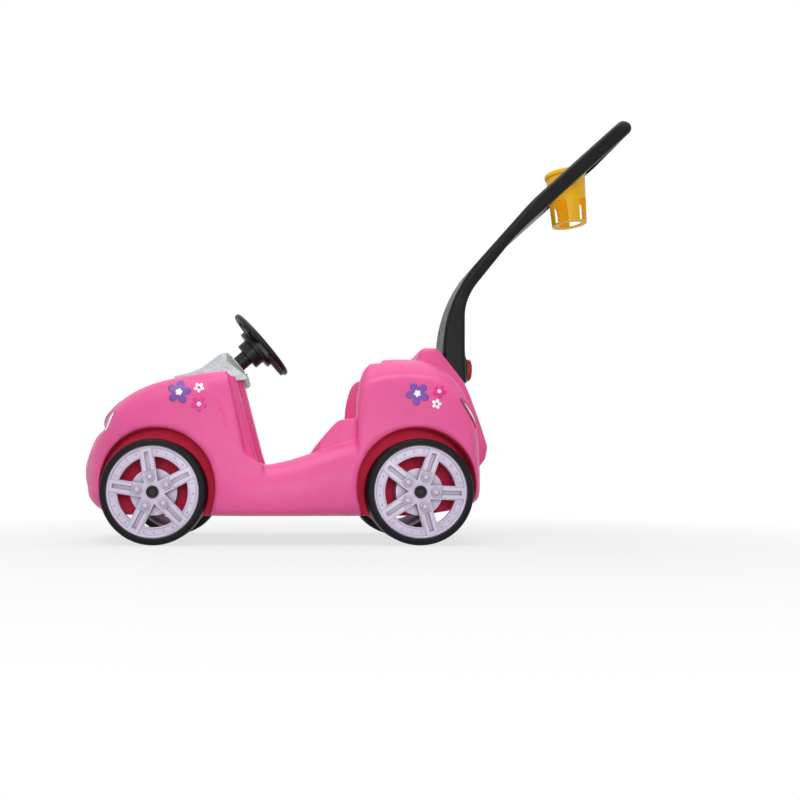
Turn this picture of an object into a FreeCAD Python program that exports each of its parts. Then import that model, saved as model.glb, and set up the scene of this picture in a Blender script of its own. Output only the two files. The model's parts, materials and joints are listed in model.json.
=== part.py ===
import FreeCAD, Part
import math
import os
import Sketcher

# Push car with a folding handle, in millimetres.
# +Z is up, the car faces -X, and the left side is -Y.
# The origin is on the ground, below the middle of the box that holds the whole object.

doc = FreeCAD.newDocument("push_car")

# Driving dimensions
DIMENSIONS = {
    # wheels and axles
    "front_axle_x": -426.0,
    "rear_axle_x": 126.0,
    "wheel_radius": 110.5,
    "tyre_width": 72.0,
    "tyre_round": 9.0,
    "wheel_face_y": 228.0,
    "rim_radius": 96.6,
    "rim_lip": 4.0,
    "barrel_wall": 5.0,
    "ring_inner_radius": 73.0,
    "ring_depth": 13.0,
    "spoke_width": 29.0,
    "spoke_depth": 15.0,
    "spoke_groove": 8.0,
    "spoke_groove_depth": 3.0,
    "lug_radius": 8.0,
    "lug_circle": 32.0,
    "lug_height": 4.0,
    "hub_radius": 23.0,
    "drum_radius": 49.0,
    "drum_wall": 5.0,
    "back_rib": 4.0,
    "cap_radius": 13.0,
    "cap_depth": 9.0,
    "axle_radius": 6.0,
    "axle_bush_wall": 3.0,
    "running_gap": 0.06,
    "side_gap": 0.4,
    "bore_gap": 0.15,
    "push_nut_radius": 10.0,
    "push_nut_depth": 3.0,
    "rear_spoke_turn": 2.0,
    "front_spoke_turn": -99.0,
    # body
    "nose_x": -605.0,
    "tail_x": 268.0,
    "body_half_width": 232.0,
    "sill_bottom": 58.0,
    "sill_corner": 8.0,
    "sill_low_x": -198.0,
    "sill_low_top": 173.0,
    "sill_rear_x": -12.0,
    "sill_rear_top": 228.0,
    "nose_crown": 2.0,
    "cowl_crown": 9.0,
    "hull_corner": 5.0,
    "nose_round": 200.0,
    "end_blunt": 3.5,
    "tail_round": 48.0,
    "nose_top": 176.0,
    "nose_lift": 85.0,
    "tail_lift": 32.0,
    "cowl_x": -277.0,
    "cowl_z": 371.0,
    "hood_bow": 0.22,
    "nose_share": 0.8,
    "door_slope_x": 41.0,
    "door_slope_z": 190.0,
    "door_round": 46.0,
    "fender_front_x": -2.0,
    "fender_round_x": 40.0,
    "fender_top": 397.0,
    "fender_rear_x": 140.0,
    "fender_rear_z": 150.0,
    "tumblehome": 0.1,
    "arch_radius": 124.0,
    "arch_rise": 9.5,
    "front_arch_shift": 4.0,
    "rear_arch_shift": -6.0,
    "well_wall_y": 148.0,
    "cockpit_half_width": 165.0,
    "floor_z": 82.0,
    "seat_front_x": -94.0,
    "seat_front_z": 205.0,
    "seat_top": 264.0,
    "seat_round": 34.0,
    "seat_back_x": 25.0,
    "seat_back_lean": 34.0,
    "bustle_half_width": 85.0,
    "bustle_top": 430.0,
    "bustle_front_x": 132.0,
    "bustle_rear_x": 299.0,
    "bustle_rear_z": 210.0,
    "bustle_round": 16.0,
    "console_half_width": 84.0,
    "console_step": 13.0,
    "foot_reach": 20.0,
    "cowl_wall": 20.0,
    # handle
    "pivot_x": 240.0,
    "pivot_z": 201.0,
    "pivot_radius": 6.0,
    "pivot_boss": 26.0,
    "pivot_seat": 16.0,
    "pivot_bush_length": 40.0,
    "paddle_gap": 6.0,
    "paddle_half_width": 56.0,
    "fold_turn": 227.0,
    "axle_notch_gap": 3.0,
    "loop_half_width": 116.0,
    "flare_start_z": 540.0,
    "flare_end_z": 745.0,
    "flare_round": 160.0,
    "grip_corner": 38.0,
    "channel_gap": 7.0,
    "handle_tip_x": 605.0,
    "handle_tip_z": 917.0,
    "rail_angle": 42.0,
    "rail_thickness": 33.0,
    "rail_width": 28.0,
    "grip_bar": 31.0,
    "rail_round": 9.0,
    "loop_round": 30.0,
    "loop_length": 191.0,
    "paddle_front_x": 203.0,
    "paddle_rear_x": 253.0,
    "paddle_waist_z": 430.0,
    "knee_front_z": 540.0,
    "knee_front_round": 300.0,
    "knee_rear_z": 545.0,
    "knee_rear_round": 120.0,
    "elbow_front_run": 271.0,
    "elbow_rear_run": 343.0,
    "elbow_round": 400.0,
    # latch
    "button_radius": 25.0,
    "button_z": 388.0,
    "button_proud": 14.0,
    "button_travel": 8.0,
    "button_boss": 34.0,
    "button_boss_height": 8.0,
    "button_depth": 10.0,
    "button_gap": 0.4,
    "button_round": 6.0,
    "stem_radius": 9.0,
    "latch_reach": 2.0,
    "latch_gap": 3.0,
    "spring_room": 22.0,
    "spring_radius": 15.0,
    "spring_wire": 2.0,
    "strike_plate": 3.0,
    "strike_half": 30.0,
    # cup holder
    "cup_radius": 40.0,
    "cup_bottom_radius": 35.0,
    "cup_height": 120.0,
    "cup_rim_above": 21.0,
    "cup_rim_lip": 2.5,
    "cup_rim_height": 10.0,
    "cup_wall": 3.2,
    "cup_skirt": 68.0,
    "cup_strap": 22.0,
    "cup_drain_radius": 26.0,
    "cup_pin_radius": 5.0,
    "cup_pin_boss": 9.0,
    "cup_pin_seat": 14.0,
    "cup_swing_gap": 5.0,
    "cup_tilt": -5.0,
    # steering
    "steer_x": -207.0,
    "steer_z": 447.0,
    "steer_tilt": 49.0,
    "steer_radius": 82.5,
    "steer_rim_radius": 6.5,
    "steer_spoke_width": 26.0,
    "steer_spoke_depth": 9.0,
    "steer_flange_radius": 48.0,
    "steer_flange_top": 11.0,
    "steer_flange_depth": 10.0,
    "steer_housing_radius": 32.0,
    "steer_housing_end": 43.0,
    "column_radius": 18.0,
    "column_end": 69.0,
    "column_bush": 4.0,
    "column_bush_radius": 22.0,
    "shaft_radius": 4.0,
    "shaft_end": 104.0,
    "shaft_nut_radius": 8.0,
    "shaft_nut": 3.0,
    "shaft_nut_room": 9.5,
    "horn_radius": 21.0,
    "horn_top": 2.0,
    "horn_depth": 12.0,
    "horn_floor": 31.0,
    "horn_spring_radius": 13.0,
    # dash
    "dash_half_width": 95.0,
    "dash_top_half_width": 58.0,
    "dash_side_drop": 24.0,
    "dash_tip_x": -396.0,
    "dash_tip_z": 364.0,
    "dash_ramp_x": -338.0,
    "dash_ramp_z": 388.0,
    "dash_peak_x": -297.0,
    "dash_peak_z": 418.0,
    "dash_face_up": 30.0,
    "dash_face_down": 42.0,
    "dash_lip_x": -241.0,
    "screw_radius": 2.2,
    "screw_head_radius": 5.0,
    "screw_head": 3.0,
    "screw_length": 26.0,
}

sheet = doc.addObject("Spreadsheet::Sheet", "Dimensions")
for row, (alias, number) in enumerate(DIMENSIONS.items(), start=1):
    sheet.set("A%d" % row, alias)
    sheet.set("B%d" % row, str(number))
    sheet.setAlias("B%d" % row, alias)
doc.recompute()


class Size:
    """A size from the sheet that carries its value and the formula that binds it."""

    def __init__(self, number, formula):
        self.number = float(number)
        self.formula = formula

    def __float__(self):
        return self.number

    def __add__(self, other):
        other = as_size(other)
        return Size(self.number + other.number, "(%s + %s)" % (self.formula, other.formula))

    def __radd__(self, other):
        return as_size(other) + self

    def __sub__(self, other):
        other = as_size(other)
        return Size(self.number - other.number, "(%s - %s)" % (self.formula, other.formula))

    def __rsub__(self, other):
        return as_size(other) - self

    def __mul__(self, factor):
        return Size(self.number * factor, "(%s * %r)" % (self.formula, factor))

    __rmul__ = __mul__

    def __neg__(self):
        return self * -1.0


def as_size(value):
    if isinstance(value, Size):
        return value
    return Size(value, repr(float(value)))


def dim(alias):
    return Size(sheet.get(alias), "Dimensions." + alias)


def num(alias):
    return float(sheet.get(alias))


def vec(x, y, z):
    return FreeCAD.Vector(float(x), float(y), float(z))


def bind(obj, path, size):
    obj.setExpression(path, as_size(size).formula)


Y_AXIS = FreeCAD.Vector(0, 1, 0)
Z_AXIS = FreeCAD.Vector(0, 0, 1)
HALF_TURN = 180.0
sub_parts = []


def keep(obj, label):
    """Names a finished sub-part, which is written to a file of that name."""
    obj.Label = label
    sub_parts.append(obj)
    return obj


def place(obj, x, y, z, axis=Z_AXIS, angle=0.0):
    """Binds an object's position to the sheet and turns it about one axis."""
    turn = as_size(angle)
    obj.Placement = FreeCAD.Placement(vec(x, y, z), FreeCAD.Rotation(axis, float(turn)))
    bind(obj, "Placement.Base.x", x)
    bind(obj, "Placement.Base.y", y)
    bind(obj, "Placement.Base.z", z)
    if isinstance(angle, Size):
        obj.setExpression("Placement.Rotation.Angle", turn.formula)


# Sketch helpers
def origin_plane(body, role):
    return [feature for feature in body.Origin.OriginFeatures if feature.Role == role][0]


def fix_coordinate(sketch, geometry, kind, axis_line, size):
    """Ties one coordinate of a line's start point to the sheet."""
    if abs(float(size)) < 1e-9:
        sketch.addConstraint(Sketcher.Constraint("PointOnObject", geometry, 1, axis_line))
        return
    index = sketch.addConstraint(Sketcher.Constraint(kind, -1, 1, geometry, 1, float(size)))
    sketch.setExpression("Constraints[%d]" % index, size.formula)


def polygon_sketch(body, name, role, points, offset=None):
    """A closed polygon whose corners are bound to the sheet."""
    sketch = body.newObject("Sketcher::SketchObject", name)
    sketch.AttachmentSupport = [(origin_plane(body, role), "")]
    sketch.MapMode = "FlatFace"
    if offset is not None:
        sketch.AttachmentOffset = FreeCAD.Placement(vec(0, 0, offset), FreeCAD.Rotation())
        bind(sketch, "AttachmentOffset.Base.z", offset)
    corners = [(as_size(u), as_size(w)) for u, w in points]
    count = len(corners)
    for i in range(count):
        start = corners[i]
        end = corners[(i + 1) % count]
        sketch.addGeometry(Part.LineSegment(vec(start[0], start[1], 0), vec(end[0], end[1], 0)))
    for i in range(count):
        sketch.addConstraint(Sketcher.Constraint("Coincident", i, 2, (i + 1) % count, 1))
    for i, (u, w) in enumerate(corners):
        fix_coordinate(sketch, i, "DistanceX", -2, u)
        fix_coordinate(sketch, i, "DistanceY", -1, w)
    return sketch


def circle_sketch(body, name, role, radius, at=(0.0, 0.0), offset=None):
    """A circle whose radius and centre are bound to the sheet."""
    sketch = body.newObject("Sketcher::SketchObject", name)
    sketch.AttachmentSupport = [(origin_plane(body, role), "")]
    sketch.MapMode = "FlatFace"
    if offset is not None:
        sketch.AttachmentOffset = FreeCAD.Placement(vec(0, 0, offset), FreeCAD.Rotation())
        bind(sketch, "AttachmentOffset.Base.z", offset)
    u, w = as_size(at[0]), as_size(at[1])
    sketch.addGeometry(Part.Circle(vec(u, w, 0), Z_AXIS, float(radius)))
    index = sketch.addConstraint(Sketcher.Constraint("Radius", 0, float(radius)))
    sketch.setExpression("Constraints[%d]" % index, as_size(radius).formula)
    for kind, axis_line, size in (("DistanceX", -2, u), ("DistanceY", -1, w)):
        if abs(float(size)) < 1e-9:
            sketch.addConstraint(Sketcher.Constraint("PointOnObject", 0, 3, axis_line))
        else:
            index = sketch.addConstraint(Sketcher.Constraint(kind, -1, 1, 0, 3, float(size)))
            sketch.setExpression("Constraints[%d]" % index, size.formula)
    return sketch


def revolve(body, name, points):
    """Turns a profile of (radius, along the axis) about the body's Y axis."""
    sketch = polygon_sketch(body, name + "_profile", "XY_Plane", points)
    feature = body.newObject("PartDesign::Revolution", name)
    feature.Profile = sketch
    feature.ReferenceAxis = (sketch, ["V_Axis"])
    feature.Angle = 360.0
    return feature


def pad(body, name, sketch, length):
    """Raises a sketch on the XZ plane towards -Y."""
    feature = body.newObject("PartDesign::Pad", name)
    feature.Profile = sketch
    feature.Length = float(length)
    bind(feature, "Length", length)
    return feature


def pocket(body, name, sketch, length, reverse=False):
    """Sinks a sketch on the XZ plane towards +Y."""
    feature = body.newObject("PartDesign::Pocket", name)
    feature.Profile = sketch
    feature.Length = float(length)
    feature.Reversed = reverse
    bind(feature, "Length", length)
    return feature


def polar(body, name, features, count):
    """Repeats features round the body's Y axis."""
    pattern = body.newObject("PartDesign::PolarPattern", name)
    pattern.Originals = features
    axis = [feature for feature in body.Origin.OriginFeatures if feature.Role == "Y_Axis"][0]
    pattern.Axis = (axis, [""])
    pattern.Angle = 360.0
    pattern.Occurrences = count
    body.Tip = pattern
    return pattern


def round_circles(body, name, base, radius_at, size):
    """Rounds the circular edges of one radius on a turned piece."""
    doc.recompute()
    picked = []
    for i, edge in enumerate(base.Shape.Edges, start=1):
        if isinstance(edge.Curve, Part.Circle) and abs(edge.Curve.Radius - float(radius_at)) < 1e-4:
            picked.append("Edge%d" % i)
    feature = body.newObject("PartDesign::Fillet", name)
    feature.Base = (base, picked)
    feature.Radius = float(size)
    bind(feature, "Radius", size)
    return feature


# Wheels
SPOKES = 5
wheel_radius = dim("wheel_radius")
half_tyre = dim("tyre_width") * 0.5
wheel_centre_y = dim("wheel_face_y") - half_tyre
rim_face = half_tyre - dim("rim_lip")
bush_radius = dim("axle_radius") + dim("running_gap") + dim("axle_bush_wall")
cap_floor = rim_face - dim("cap_depth")
nut_room = dim("push_nut_depth") + dim("side_gap") * 2.0


def make_tyre(name):
    body = doc.addObject("PartDesign::Body", name)
    section = [
        (dim("rim_radius"), -half_tyre),
        (wheel_radius, -half_tyre),
        (wheel_radius, half_tyre),
        (dim("rim_radius"), half_tyre),
    ]
    ring = revolve(body, name + "_ring", section)
    round_circles(body, name + "_shoulder", ring, wheel_radius, dim("tyre_round"))
    return body


def make_rim(name):
    """One moulded wheel: barrel, face ring, five grooved spokes, lugs, drum and back ribs."""
    body = doc.addObject("PartDesign::Body", name)
    rim_radius = dim("rim_radius")
    barrel_inside = rim_radius - dim("barrel_wall")
    ring_back = rim_face - dim("ring_depth")
    barrel = [
        (dim("ring_inner_radius"), -rim_face),
        (rim_radius, -rim_face),
        (rim_radius, rim_face),
        (barrel_inside, rim_face),
        (barrel_inside, -ring_back),
        (dim("ring_inner_radius"), -ring_back),
    ]
    revolve(body, name + "_barrel", barrel)
    drum_face = rim_face - dim("spoke_depth")
    drum_inside = dim("drum_radius") - dim("drum_wall")
    hub = [
        (bush_radius, -(cap_floor - nut_room)),
        (dim("cap_radius"), -(cap_floor - nut_room)),
        (dim("cap_radius"), -rim_face),
        (dim("hub_radius"), -rim_face),
        (dim("hub_radius"), -drum_face),
        (dim("drum_radius"), -drum_face),
        (dim("drum_radius"), rim_face),
        (drum_inside, rim_face),
        (drum_inside, -(drum_face - dim("drum_wall"))),
        (dim("hub_radius"), -(drum_face - dim("drum_wall"))),
        (dim("hub_radius"), half_tyre),
        (bush_radius, half_tyre),
    ]
    revolve(body, name + "_hub", hub)
    half_spoke = dim("spoke_width") * 0.5
    spoke_out = dim("ring_inner_radius") + dim("rim_lip")
    spoke_in = dim("cap_radius") + dim("rim_lip")
    spoke_points = [
        (spoke_in, -half_spoke),
        (spoke_out, -half_spoke),
        (spoke_out, half_spoke),
        (spoke_in, half_spoke),
    ]
    spoke_sketch = polygon_sketch(body, name + "_spoke_outline", "XZ_Plane", spoke_points, drum_face)
    spoke = pad(body, name + "_spoke", spoke_sketch, dim("spoke_depth"))
    polar(body, name + "_spokes", [spoke], SPOKES)
    half_groove = dim("spoke_groove") * 0.5
    groove_in = dim("lug_circle") + dim("lug_radius") + dim("rim_lip")
    groove_out = dim("rim_radius") - dim("ring_depth")
    groove_points = [
        (groove_in, -half_groove),
        (groove_out, -half_groove),
        (groove_out, half_groove),
        (groove_in, half_groove),
    ]
    groove_sketch = polygon_sketch(body, name + "_groove_outline", "XZ_Plane", groove_points, rim_face)
    groove = pocket(body, name + "_groove", groove_sketch, dim("spoke_groove_depth"))
    polar(body, name + "_grooves", [groove], SPOKES)
    lug_at = (dim("lug_circle"), 0.0)
    lug_sketch = circle_sketch(body, name + "_lug_outline", "XZ_Plane", dim("lug_radius"), lug_at, drum_face)
    lug = pad(body, name + "_lug", lug_sketch, dim("spoke_depth") + dim("lug_height"))
    polar(body, name + "_lugs", [lug], SPOKES)
    half_rib = dim("back_rib") * 0.5
    rib_points = [
        (drum_inside + dim("drum_wall") * 0.5, -half_rib),
        (barrel_inside + dim("barrel_wall") * 0.5, -half_rib),
        (barrel_inside + dim("barrel_wall") * 0.5, half_rib),
        (drum_inside + dim("drum_wall") * 0.5, half_rib),
    ]
    rib_depth = dim("ring_depth")
    rib_start = -(rim_face - rib_depth * 0.5)
    rib_sketch = polygon_sketch(body, name + "_rib_outline", "XZ_Plane", rib_points, rib_start)
    rib = pad(body, name + "_rib", rib_sketch, rib_depth)
    polar(body, name + "_ribs", [rib], SPOKES)
    return body


def make_hub_cap(name):
    """A black plug that closes the hub, with a shallow dished face."""
    body = doc.addObject("PartDesign::Body", name)
    seat = dim("cap_radius") - dim("bore_gap") * 0.2
    dish = dim("cap_depth") * 0.3
    section = [
        (0.0, -cap_floor),
        (seat, -cap_floor),
        (seat, -(rim_face + dish)),
        (seat * 0.72, -(rim_face + dish)),
        (seat * 0.55, -rim_face),
        (0.0, -rim_face),
    ]
    revolve(body, name + "_plug", section)
    return body


def make_wheel_bush(name):
    """A plain sleeve, pressed into the hub, that turns on the axle."""
    body = doc.addObject("PartDesign::Body", name)
    section = [
        (dim("axle_radius") + dim("running_gap"), -(cap_floor - nut_room)),
        (bush_radius, -(cap_floor - nut_room)),
        (bush_radius, half_tyre),
        (dim("axle_radius") + dim("running_gap"), half_tyre),
    ]
    revolve(body, name + "_sleeve", section)
    return body


WHEELS = [
    ("front_left", dim("front_axle_x"), -1, dim("front_spoke_turn")),
    ("front_right", dim("front_axle_x"), 1, dim("front_spoke_turn")),
    ("rear_left", dim("rear_axle_x"), -1, dim("rear_spoke_turn")),
    ("rear_right", dim("rear_axle_x"), 1, dim("rear_spoke_turn")),
]
WHEEL_PIECES = [
    ("tyre", make_tyre),
    ("rim", make_rim),
    ("hub_cap", make_hub_cap),
    ("wheel_bush", make_wheel_bush),
]


def make_wheels():
    for corner, axle_x, side, turn in WHEELS:
        for piece, make in WHEEL_PIECES:
            label = "%s_%s" % (piece, corner)
            body = make(label)
            spin = FreeCAD.Rotation(Y_AXIS, float(turn))
            facing = FreeCAD.Rotation(Z_AXIS, 0.0 if side < 0 else HALF_TURN)
            centre = vec(axle_x, wheel_centre_y * side, wheel_radius)
            body.Placement = FreeCAD.Placement(centre, facing.multiply(spin))
            bind(body, "Placement.Base.x", axle_x)
            bind(body, "Placement.Base.y", wheel_centre_y * side)
            bind(body, "Placement.Base.z", wheel_radius)
            keep(body, label)


def make_axles():
    """Steel rods with a push nut on each end and a spacer inside each wheel."""
    nut_in = wheel_centre_y + cap_floor - nut_room + dim("side_gap")
    axle_end = nut_in + dim("push_nut_depth")
    for name, axle_x in (("front", dim("front_axle_x")), ("rear", dim("rear_axle_x"))):
        rod = doc.addObject("Part::Cylinder", name + "_axle")
        rod.Radius = num("axle_radius")
        rod.Height = float(axle_end * 2.0)
        bind(rod, "Radius", dim("axle_radius"))
        bind(rod, "Height", axle_end * 2.0)
        place(rod, axle_x, axle_end, wheel_radius, FreeCAD.Vector(1, 0, 0), 90.0)
        keep(rod, name + "_axle")
        rings = []
        spacer_out = wheel_centre_y - half_tyre - dim("side_gap")
        spacer_in = dim("well_wall_y")
        for side in (-1, 1):
            nut = make_ring(name + "_nut", dim("axle_radius"), dim("push_nut_radius"), dim("push_nut_depth"))
            place_ring(nut, axle_x, nut_in, dim("push_nut_depth"), side)
            rings.append((nut, "push_nuts"))
            spacer_radius = dim("hub_radius") - dim("axle_bush_wall")
            spacer = make_ring(name + "_spacer", dim("axle_radius"), spacer_radius, spacer_out - spacer_in)
            place_ring(spacer, axle_x, spacer_in, spacer_out - spacer_in, side)
            rings.append((spacer, "axle_spacers"))
        for group in ("push_nuts", "axle_spacers"):
            pair = doc.addObject("Part::Compound", "%s_%s" % (name, group))
            pair.Links = [ring for ring, kind in rings if kind == group]
            keep(pair, "%s_%s" % (name, group))


def make_ring(name, inner, outer, length):
    """A plain ring along Z: one cylinder cut by another."""
    solid = doc.addObject("Part::Cylinder", name + "_outside")
    solid.Radius = float(outer)
    bind(solid, "Radius", outer)
    hole = doc.addObject("Part::Cylinder", name + "_inside")
    hole.Radius = float(inner)
    bind(hole, "Radius", inner)
    for cylinder in (solid, hole):
        cylinder.Height = float(length)
        bind(cylinder, "Height", length)
    ring = doc.addObject("Part::Cut", name)
    ring.Base = solid
    ring.Tool = hole
    return ring


def place_ring(ring, x, y_near, length, side):
    """Lays a ring along Y, from y_near outwards on one side."""
    start = y_near + length if side > 0 else -y_near
    place(ring, x, start, wheel_radius, FreeCAD.Vector(1, 0, 0), 90.0)


# Body shell
SECTION_POINTS = 24
STATIONS = 9


def superellipse(x, half_width, low, high, crown, corner, lean):
    """A closed section across the car, whose sides lean in. It is squarer the larger its powers are:
    crown above its middle and corner below it."""
    middle = (low + high) / 2.0
    half_height = (high - low) / 2.0
    points = []
    for i in range(SECTION_POINTS):
        turn = 2.0 * math.pi * (i + 0.5) / SECTION_POINTS
        power = crown if math.sin(turn) > 0.0 else corner
        across = math.copysign(abs(math.cos(turn)) ** (2.0 / power), math.cos(turn))
        up = math.copysign(abs(math.sin(turn)) ** (2.0 / power), math.sin(turn))
        narrowing = 1.0 - lean * (up + 1.0) / 2.0
        points.append(vec(x, half_width * across * narrowing, middle + half_height * up))
    curve = Part.BSplineCurve()
    curve.interpolate(Points=points, PeriodicFlag=True)
    return Part.Wire([curve.toShape()])


def round_end(distance, length, power):
    """How wide a rounded end is at a distance from its tip, as a share of the full width."""
    blunt = num("end_blunt")
    share = max(0.0, 1.0 - (distance + blunt) / (length + blunt))
    return (1.0 - share ** power) ** (1.0 / power)


def end_stations(tip, inner):
    """Stations from a tip inwards, closer together where the shape turns fastest."""
    steps = [i / (STATIONS - 1.0) for i in range(STATIONS)]
    return [tip + (inner - tip) * (1.0 - math.cos(step * math.pi / 2.0)) for step in steps]


def lower_top(x):
    """The height of the sill's upper line."""
    low_x, low_z = num("sill_low_x"), num("sill_low_top")
    rear_x, rear_z = num("sill_rear_x"), num("sill_rear_top")
    if x <= low_x:
        return low_z
    if x <= rear_x:
        return low_z + (rear_z - low_z) * ((x - low_x) / (rear_x - low_x)) ** 1.25
    return rear_z


def lower_bottom(x):
    """The underside, which curls up at the nose and the tail."""
    nose_share = max(0.0, (num("front_axle_x") - x) / (num("front_axle_x") - num("nose_x")))
    tail_share = max(0.0, (x - num("rear_axle_x")) / (num("tail_x") - num("rear_axle_x")))
    return num("sill_bottom") + num("nose_lift") * nose_share ** 6 + num("tail_lift") * tail_share ** 2


def hood_top(x):
    """The hood line: a low bumper, a steep nose and a hood that climbs slowly to the cowl."""
    share = max(0.0, (x - num("nose_x")) / (num("cowl_x") - num("nose_x")))
    steep = 1.0 - math.exp(-share / num("hood_bow"))
    rise = num("nose_share") * steep + (1.0 - num("nose_share")) * math.sqrt(share)
    return num("nose_top") + (num("cowl_z") - num("nose_top")) * rise


def fender_top(x):
    """The rear fender line: a quick round rise, a flat top and a falling tail."""
    low = num("sill_rear_top")
    high = num("fender_top")
    if x < num("fender_round_x"):
        reach = num("fender_round_x") - num("fender_front_x")
        return low + (high - low) * round_end(x - num("fender_front_x"), reach, 2.6)
    if x <= num("fender_rear_x"):
        return high
    share = (x - num("fender_rear_x")) / (num("tail_x") - num("fender_rear_x"))
    return num("fender_rear_z") + (high - num("fender_rear_z")) * max(0.0, 1.0 - share ** 2.2) ** 0.588


def loft(wires):
    return Part.makeLoft(wires, True, False)


def make_sills():
    """The sills and floor, which run on inside the front and the rear of the body."""
    low_x, rear_x = num("sill_low_x"), num("sill_rear_x")
    front_half, rear_half = (num("cowl_x") + low_x) / 2.0, (low_x + rear_x) / 2.0
    shares = [
        (num("front_axle_x"), 0.93),
        (num("cowl_x"), 0.965),
        (front_half, 0.99),
        (low_x, 1.0),
        (rear_half, 1.0),
        (rear_x, 0.985),
        (num("rear_axle_x"), 0.93),
    ]
    wires = []
    for x, share in shares:
        half_width = num("body_half_width") * share
        low, high, corner = num("sill_bottom"), lower_top(x), num("sill_corner")
        wires.append(superellipse(x, half_width, low, high, 4.0, corner, 0.02))
    return loft(wires)


def make_front_hull():
    """Nose, hood and front fenders."""
    nose = num("nose_x")
    inner = nose + num("nose_round")
    rear = num("sill_low_x")
    stations = end_stations(nose, inner) + [num("cowl_x"), (num("cowl_x") + rear) / 2.0, rear]
    wires = []
    for x in stations:
        half_width = num("body_half_width") * round_end(x - nose, num("nose_round"), 2.3)
        share = min(1.0, (x - nose) / (num("cowl_x") - nose))
        crown = num("nose_crown") + (num("cowl_crown") - num("nose_crown")) * share
        low, high, corner = lower_bottom(x), hood_top(x), num("hull_corner")
        wires.append(superellipse(x, half_width, low, high, crown, corner, num("tumblehome")))
    return loft(wires).cut(make_door_cut())


def make_door_cut():
    """The slanted front edge of the open side, with its round run into the sill."""
    slope = num("door_slope_x") / num("door_slope_z")
    top = num("dash_peak_z") + num("door_slope_z")
    foot_z = num("sill_low_top") - 3.0
    foot_x = num("cowl_x") + (num("cowl_z") - foot_z) * slope
    head_x = num("cowl_x") - (top - num("cowl_z")) * slope
    rear = num("sill_rear_x")
    reach = num("body_half_width") * 2.0
    points = [(head_x, top), (foot_x, foot_z), (num("sill_low_x") + reach, foot_z), (rear + reach, top)]
    prism = side_prism(points, reach)
    foot = [e for e in prism.Edges if near_line_y(e, foot_x, foot_z)]
    return prism.makeFillet(num("door_round"), foot)


def side_prism(points, half_width):
    """An outline in the XZ plane, carried across the car from -half_width to +half_width."""
    corners = [vec(x, -half_width, z) for x, z in points]
    face = Part.Face(Part.makePolygon(corners + corners[:1]))
    return face.extrude(vec(0, 2.0 * half_width, 0))


def near_line_y(edge, x, z):
    """True for an edge that runs across the car through a point of the XZ plane."""
    ends = [vertex.Point for vertex in edge.Vertexes]
    return all(abs(p.x - x) < 1e-3 and abs(p.z - z) < 1e-3 for p in ends)


def make_rear_hull():
    """Rear fenders and seat back, from the open side to the tail."""
    tail = num("tail_x")
    front = num("fender_front_x")
    crest = num("fender_round_x")
    tail_in = tail - num("tail_round")
    stations = end_stations(front, crest) + [(crest + tail_in) / 2.0] + end_stations(tail, tail_in)[::-1]
    wires = []
    for x in stations:
        half_width = num("body_half_width") * round_end(tail - x, num("tail_round"), 2.6)
        low, high, corner = lower_bottom(x), fender_top(x), num("hull_corner")
        wires.append(superellipse(x, half_width, low, high, corner, corner, num("tumblehome")))
    return loft(wires)


def round_side_edges(prism, half_width, size):
    """Rounds the outline of a prism on both of its sides."""
    picked = []
    for edge in prism.Edges:
        if all(abs(abs(vertex.Point.y) - half_width) < 1e-3 for vertex in edge.Vertexes):
            if abs(edge.BoundBox.YLength) < 1e-3:
                picked.append(edge)
    return prism.makeFillet(size, picked)


def round_corner(prism, x, z, size):
    """Rounds the edge of a side prism that runs across the car through one corner."""
    return prism.makeFillet(size, [edge for edge in prism.Edges if near_line_y(edge, x, z)])


def make_bustle():
    """The raised middle behind the seat, with a hump over the fenders and a sloping tail."""
    top = num("bustle_top")
    front = num("bustle_front_x")
    rear, rear_z = num("bustle_rear_x"), num("bustle_rear_z")
    base_z = num("fender_rear_z") - 8.0
    hump_front = (front + 17.0, top)
    hump_rear = (front + 55.0, top)
    shoulder = (rear - 49.0, top - 80.0)
    tail = (rear - 18.0, rear_z + 56.0)
    tuck = (rear - 5.0, rear_z - 28.0)
    points = [
        (front, num("fender_top") - 14.0),
        hump_front,
        hump_rear,
        shoulder,
        tail,
        (rear, rear_z),
        tuck,
        (rear - 36.0, base_z),
        (front, base_z),
    ]
    half_width = num("bustle_half_width")
    block = side_prism(points, half_width)
    block = round_corner(block, hump_front[0], hump_front[1], 18.0)
    block = round_corner(block, hump_rear[0], hump_rear[1], 24.0)
    block = round_corner(block, shoulder[0], shoulder[1], 160.0)
    block = round_corner(block, rear, rear_z, 30.0)
    return round_side_edges(block, half_width, num("bustle_round"))


def make_console(half_width, step):
    """The leg-side face below the dash, which stands out behind the cowl."""
    slope = num("door_slope_x") / num("door_slope_z")
    drop = num("cowl_z") - num("sill_low_top")
    head = num("dash_lip_x") - 6.0 - step
    foot = head + drop * slope
    points = [
        (num("cowl_x") - 40.0, num("cowl_z") - 16.0),
        (head, num("cowl_z") - 12.0),
        (foot, num("sill_low_top") + 20.0),
        (foot + 34.0, num("floor_z") + 6.0),
        (num("cowl_x") - 40.0, num("floor_z") + 6.0),
    ]
    block = side_prism(points, half_width)
    edges = [e for e in block.Edges if e.BoundBox.YLength < 1e-3 and e.BoundBox.XMin > num("cowl_x") - 39.0]
    return block.makeFillet(12.0, edges)


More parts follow.
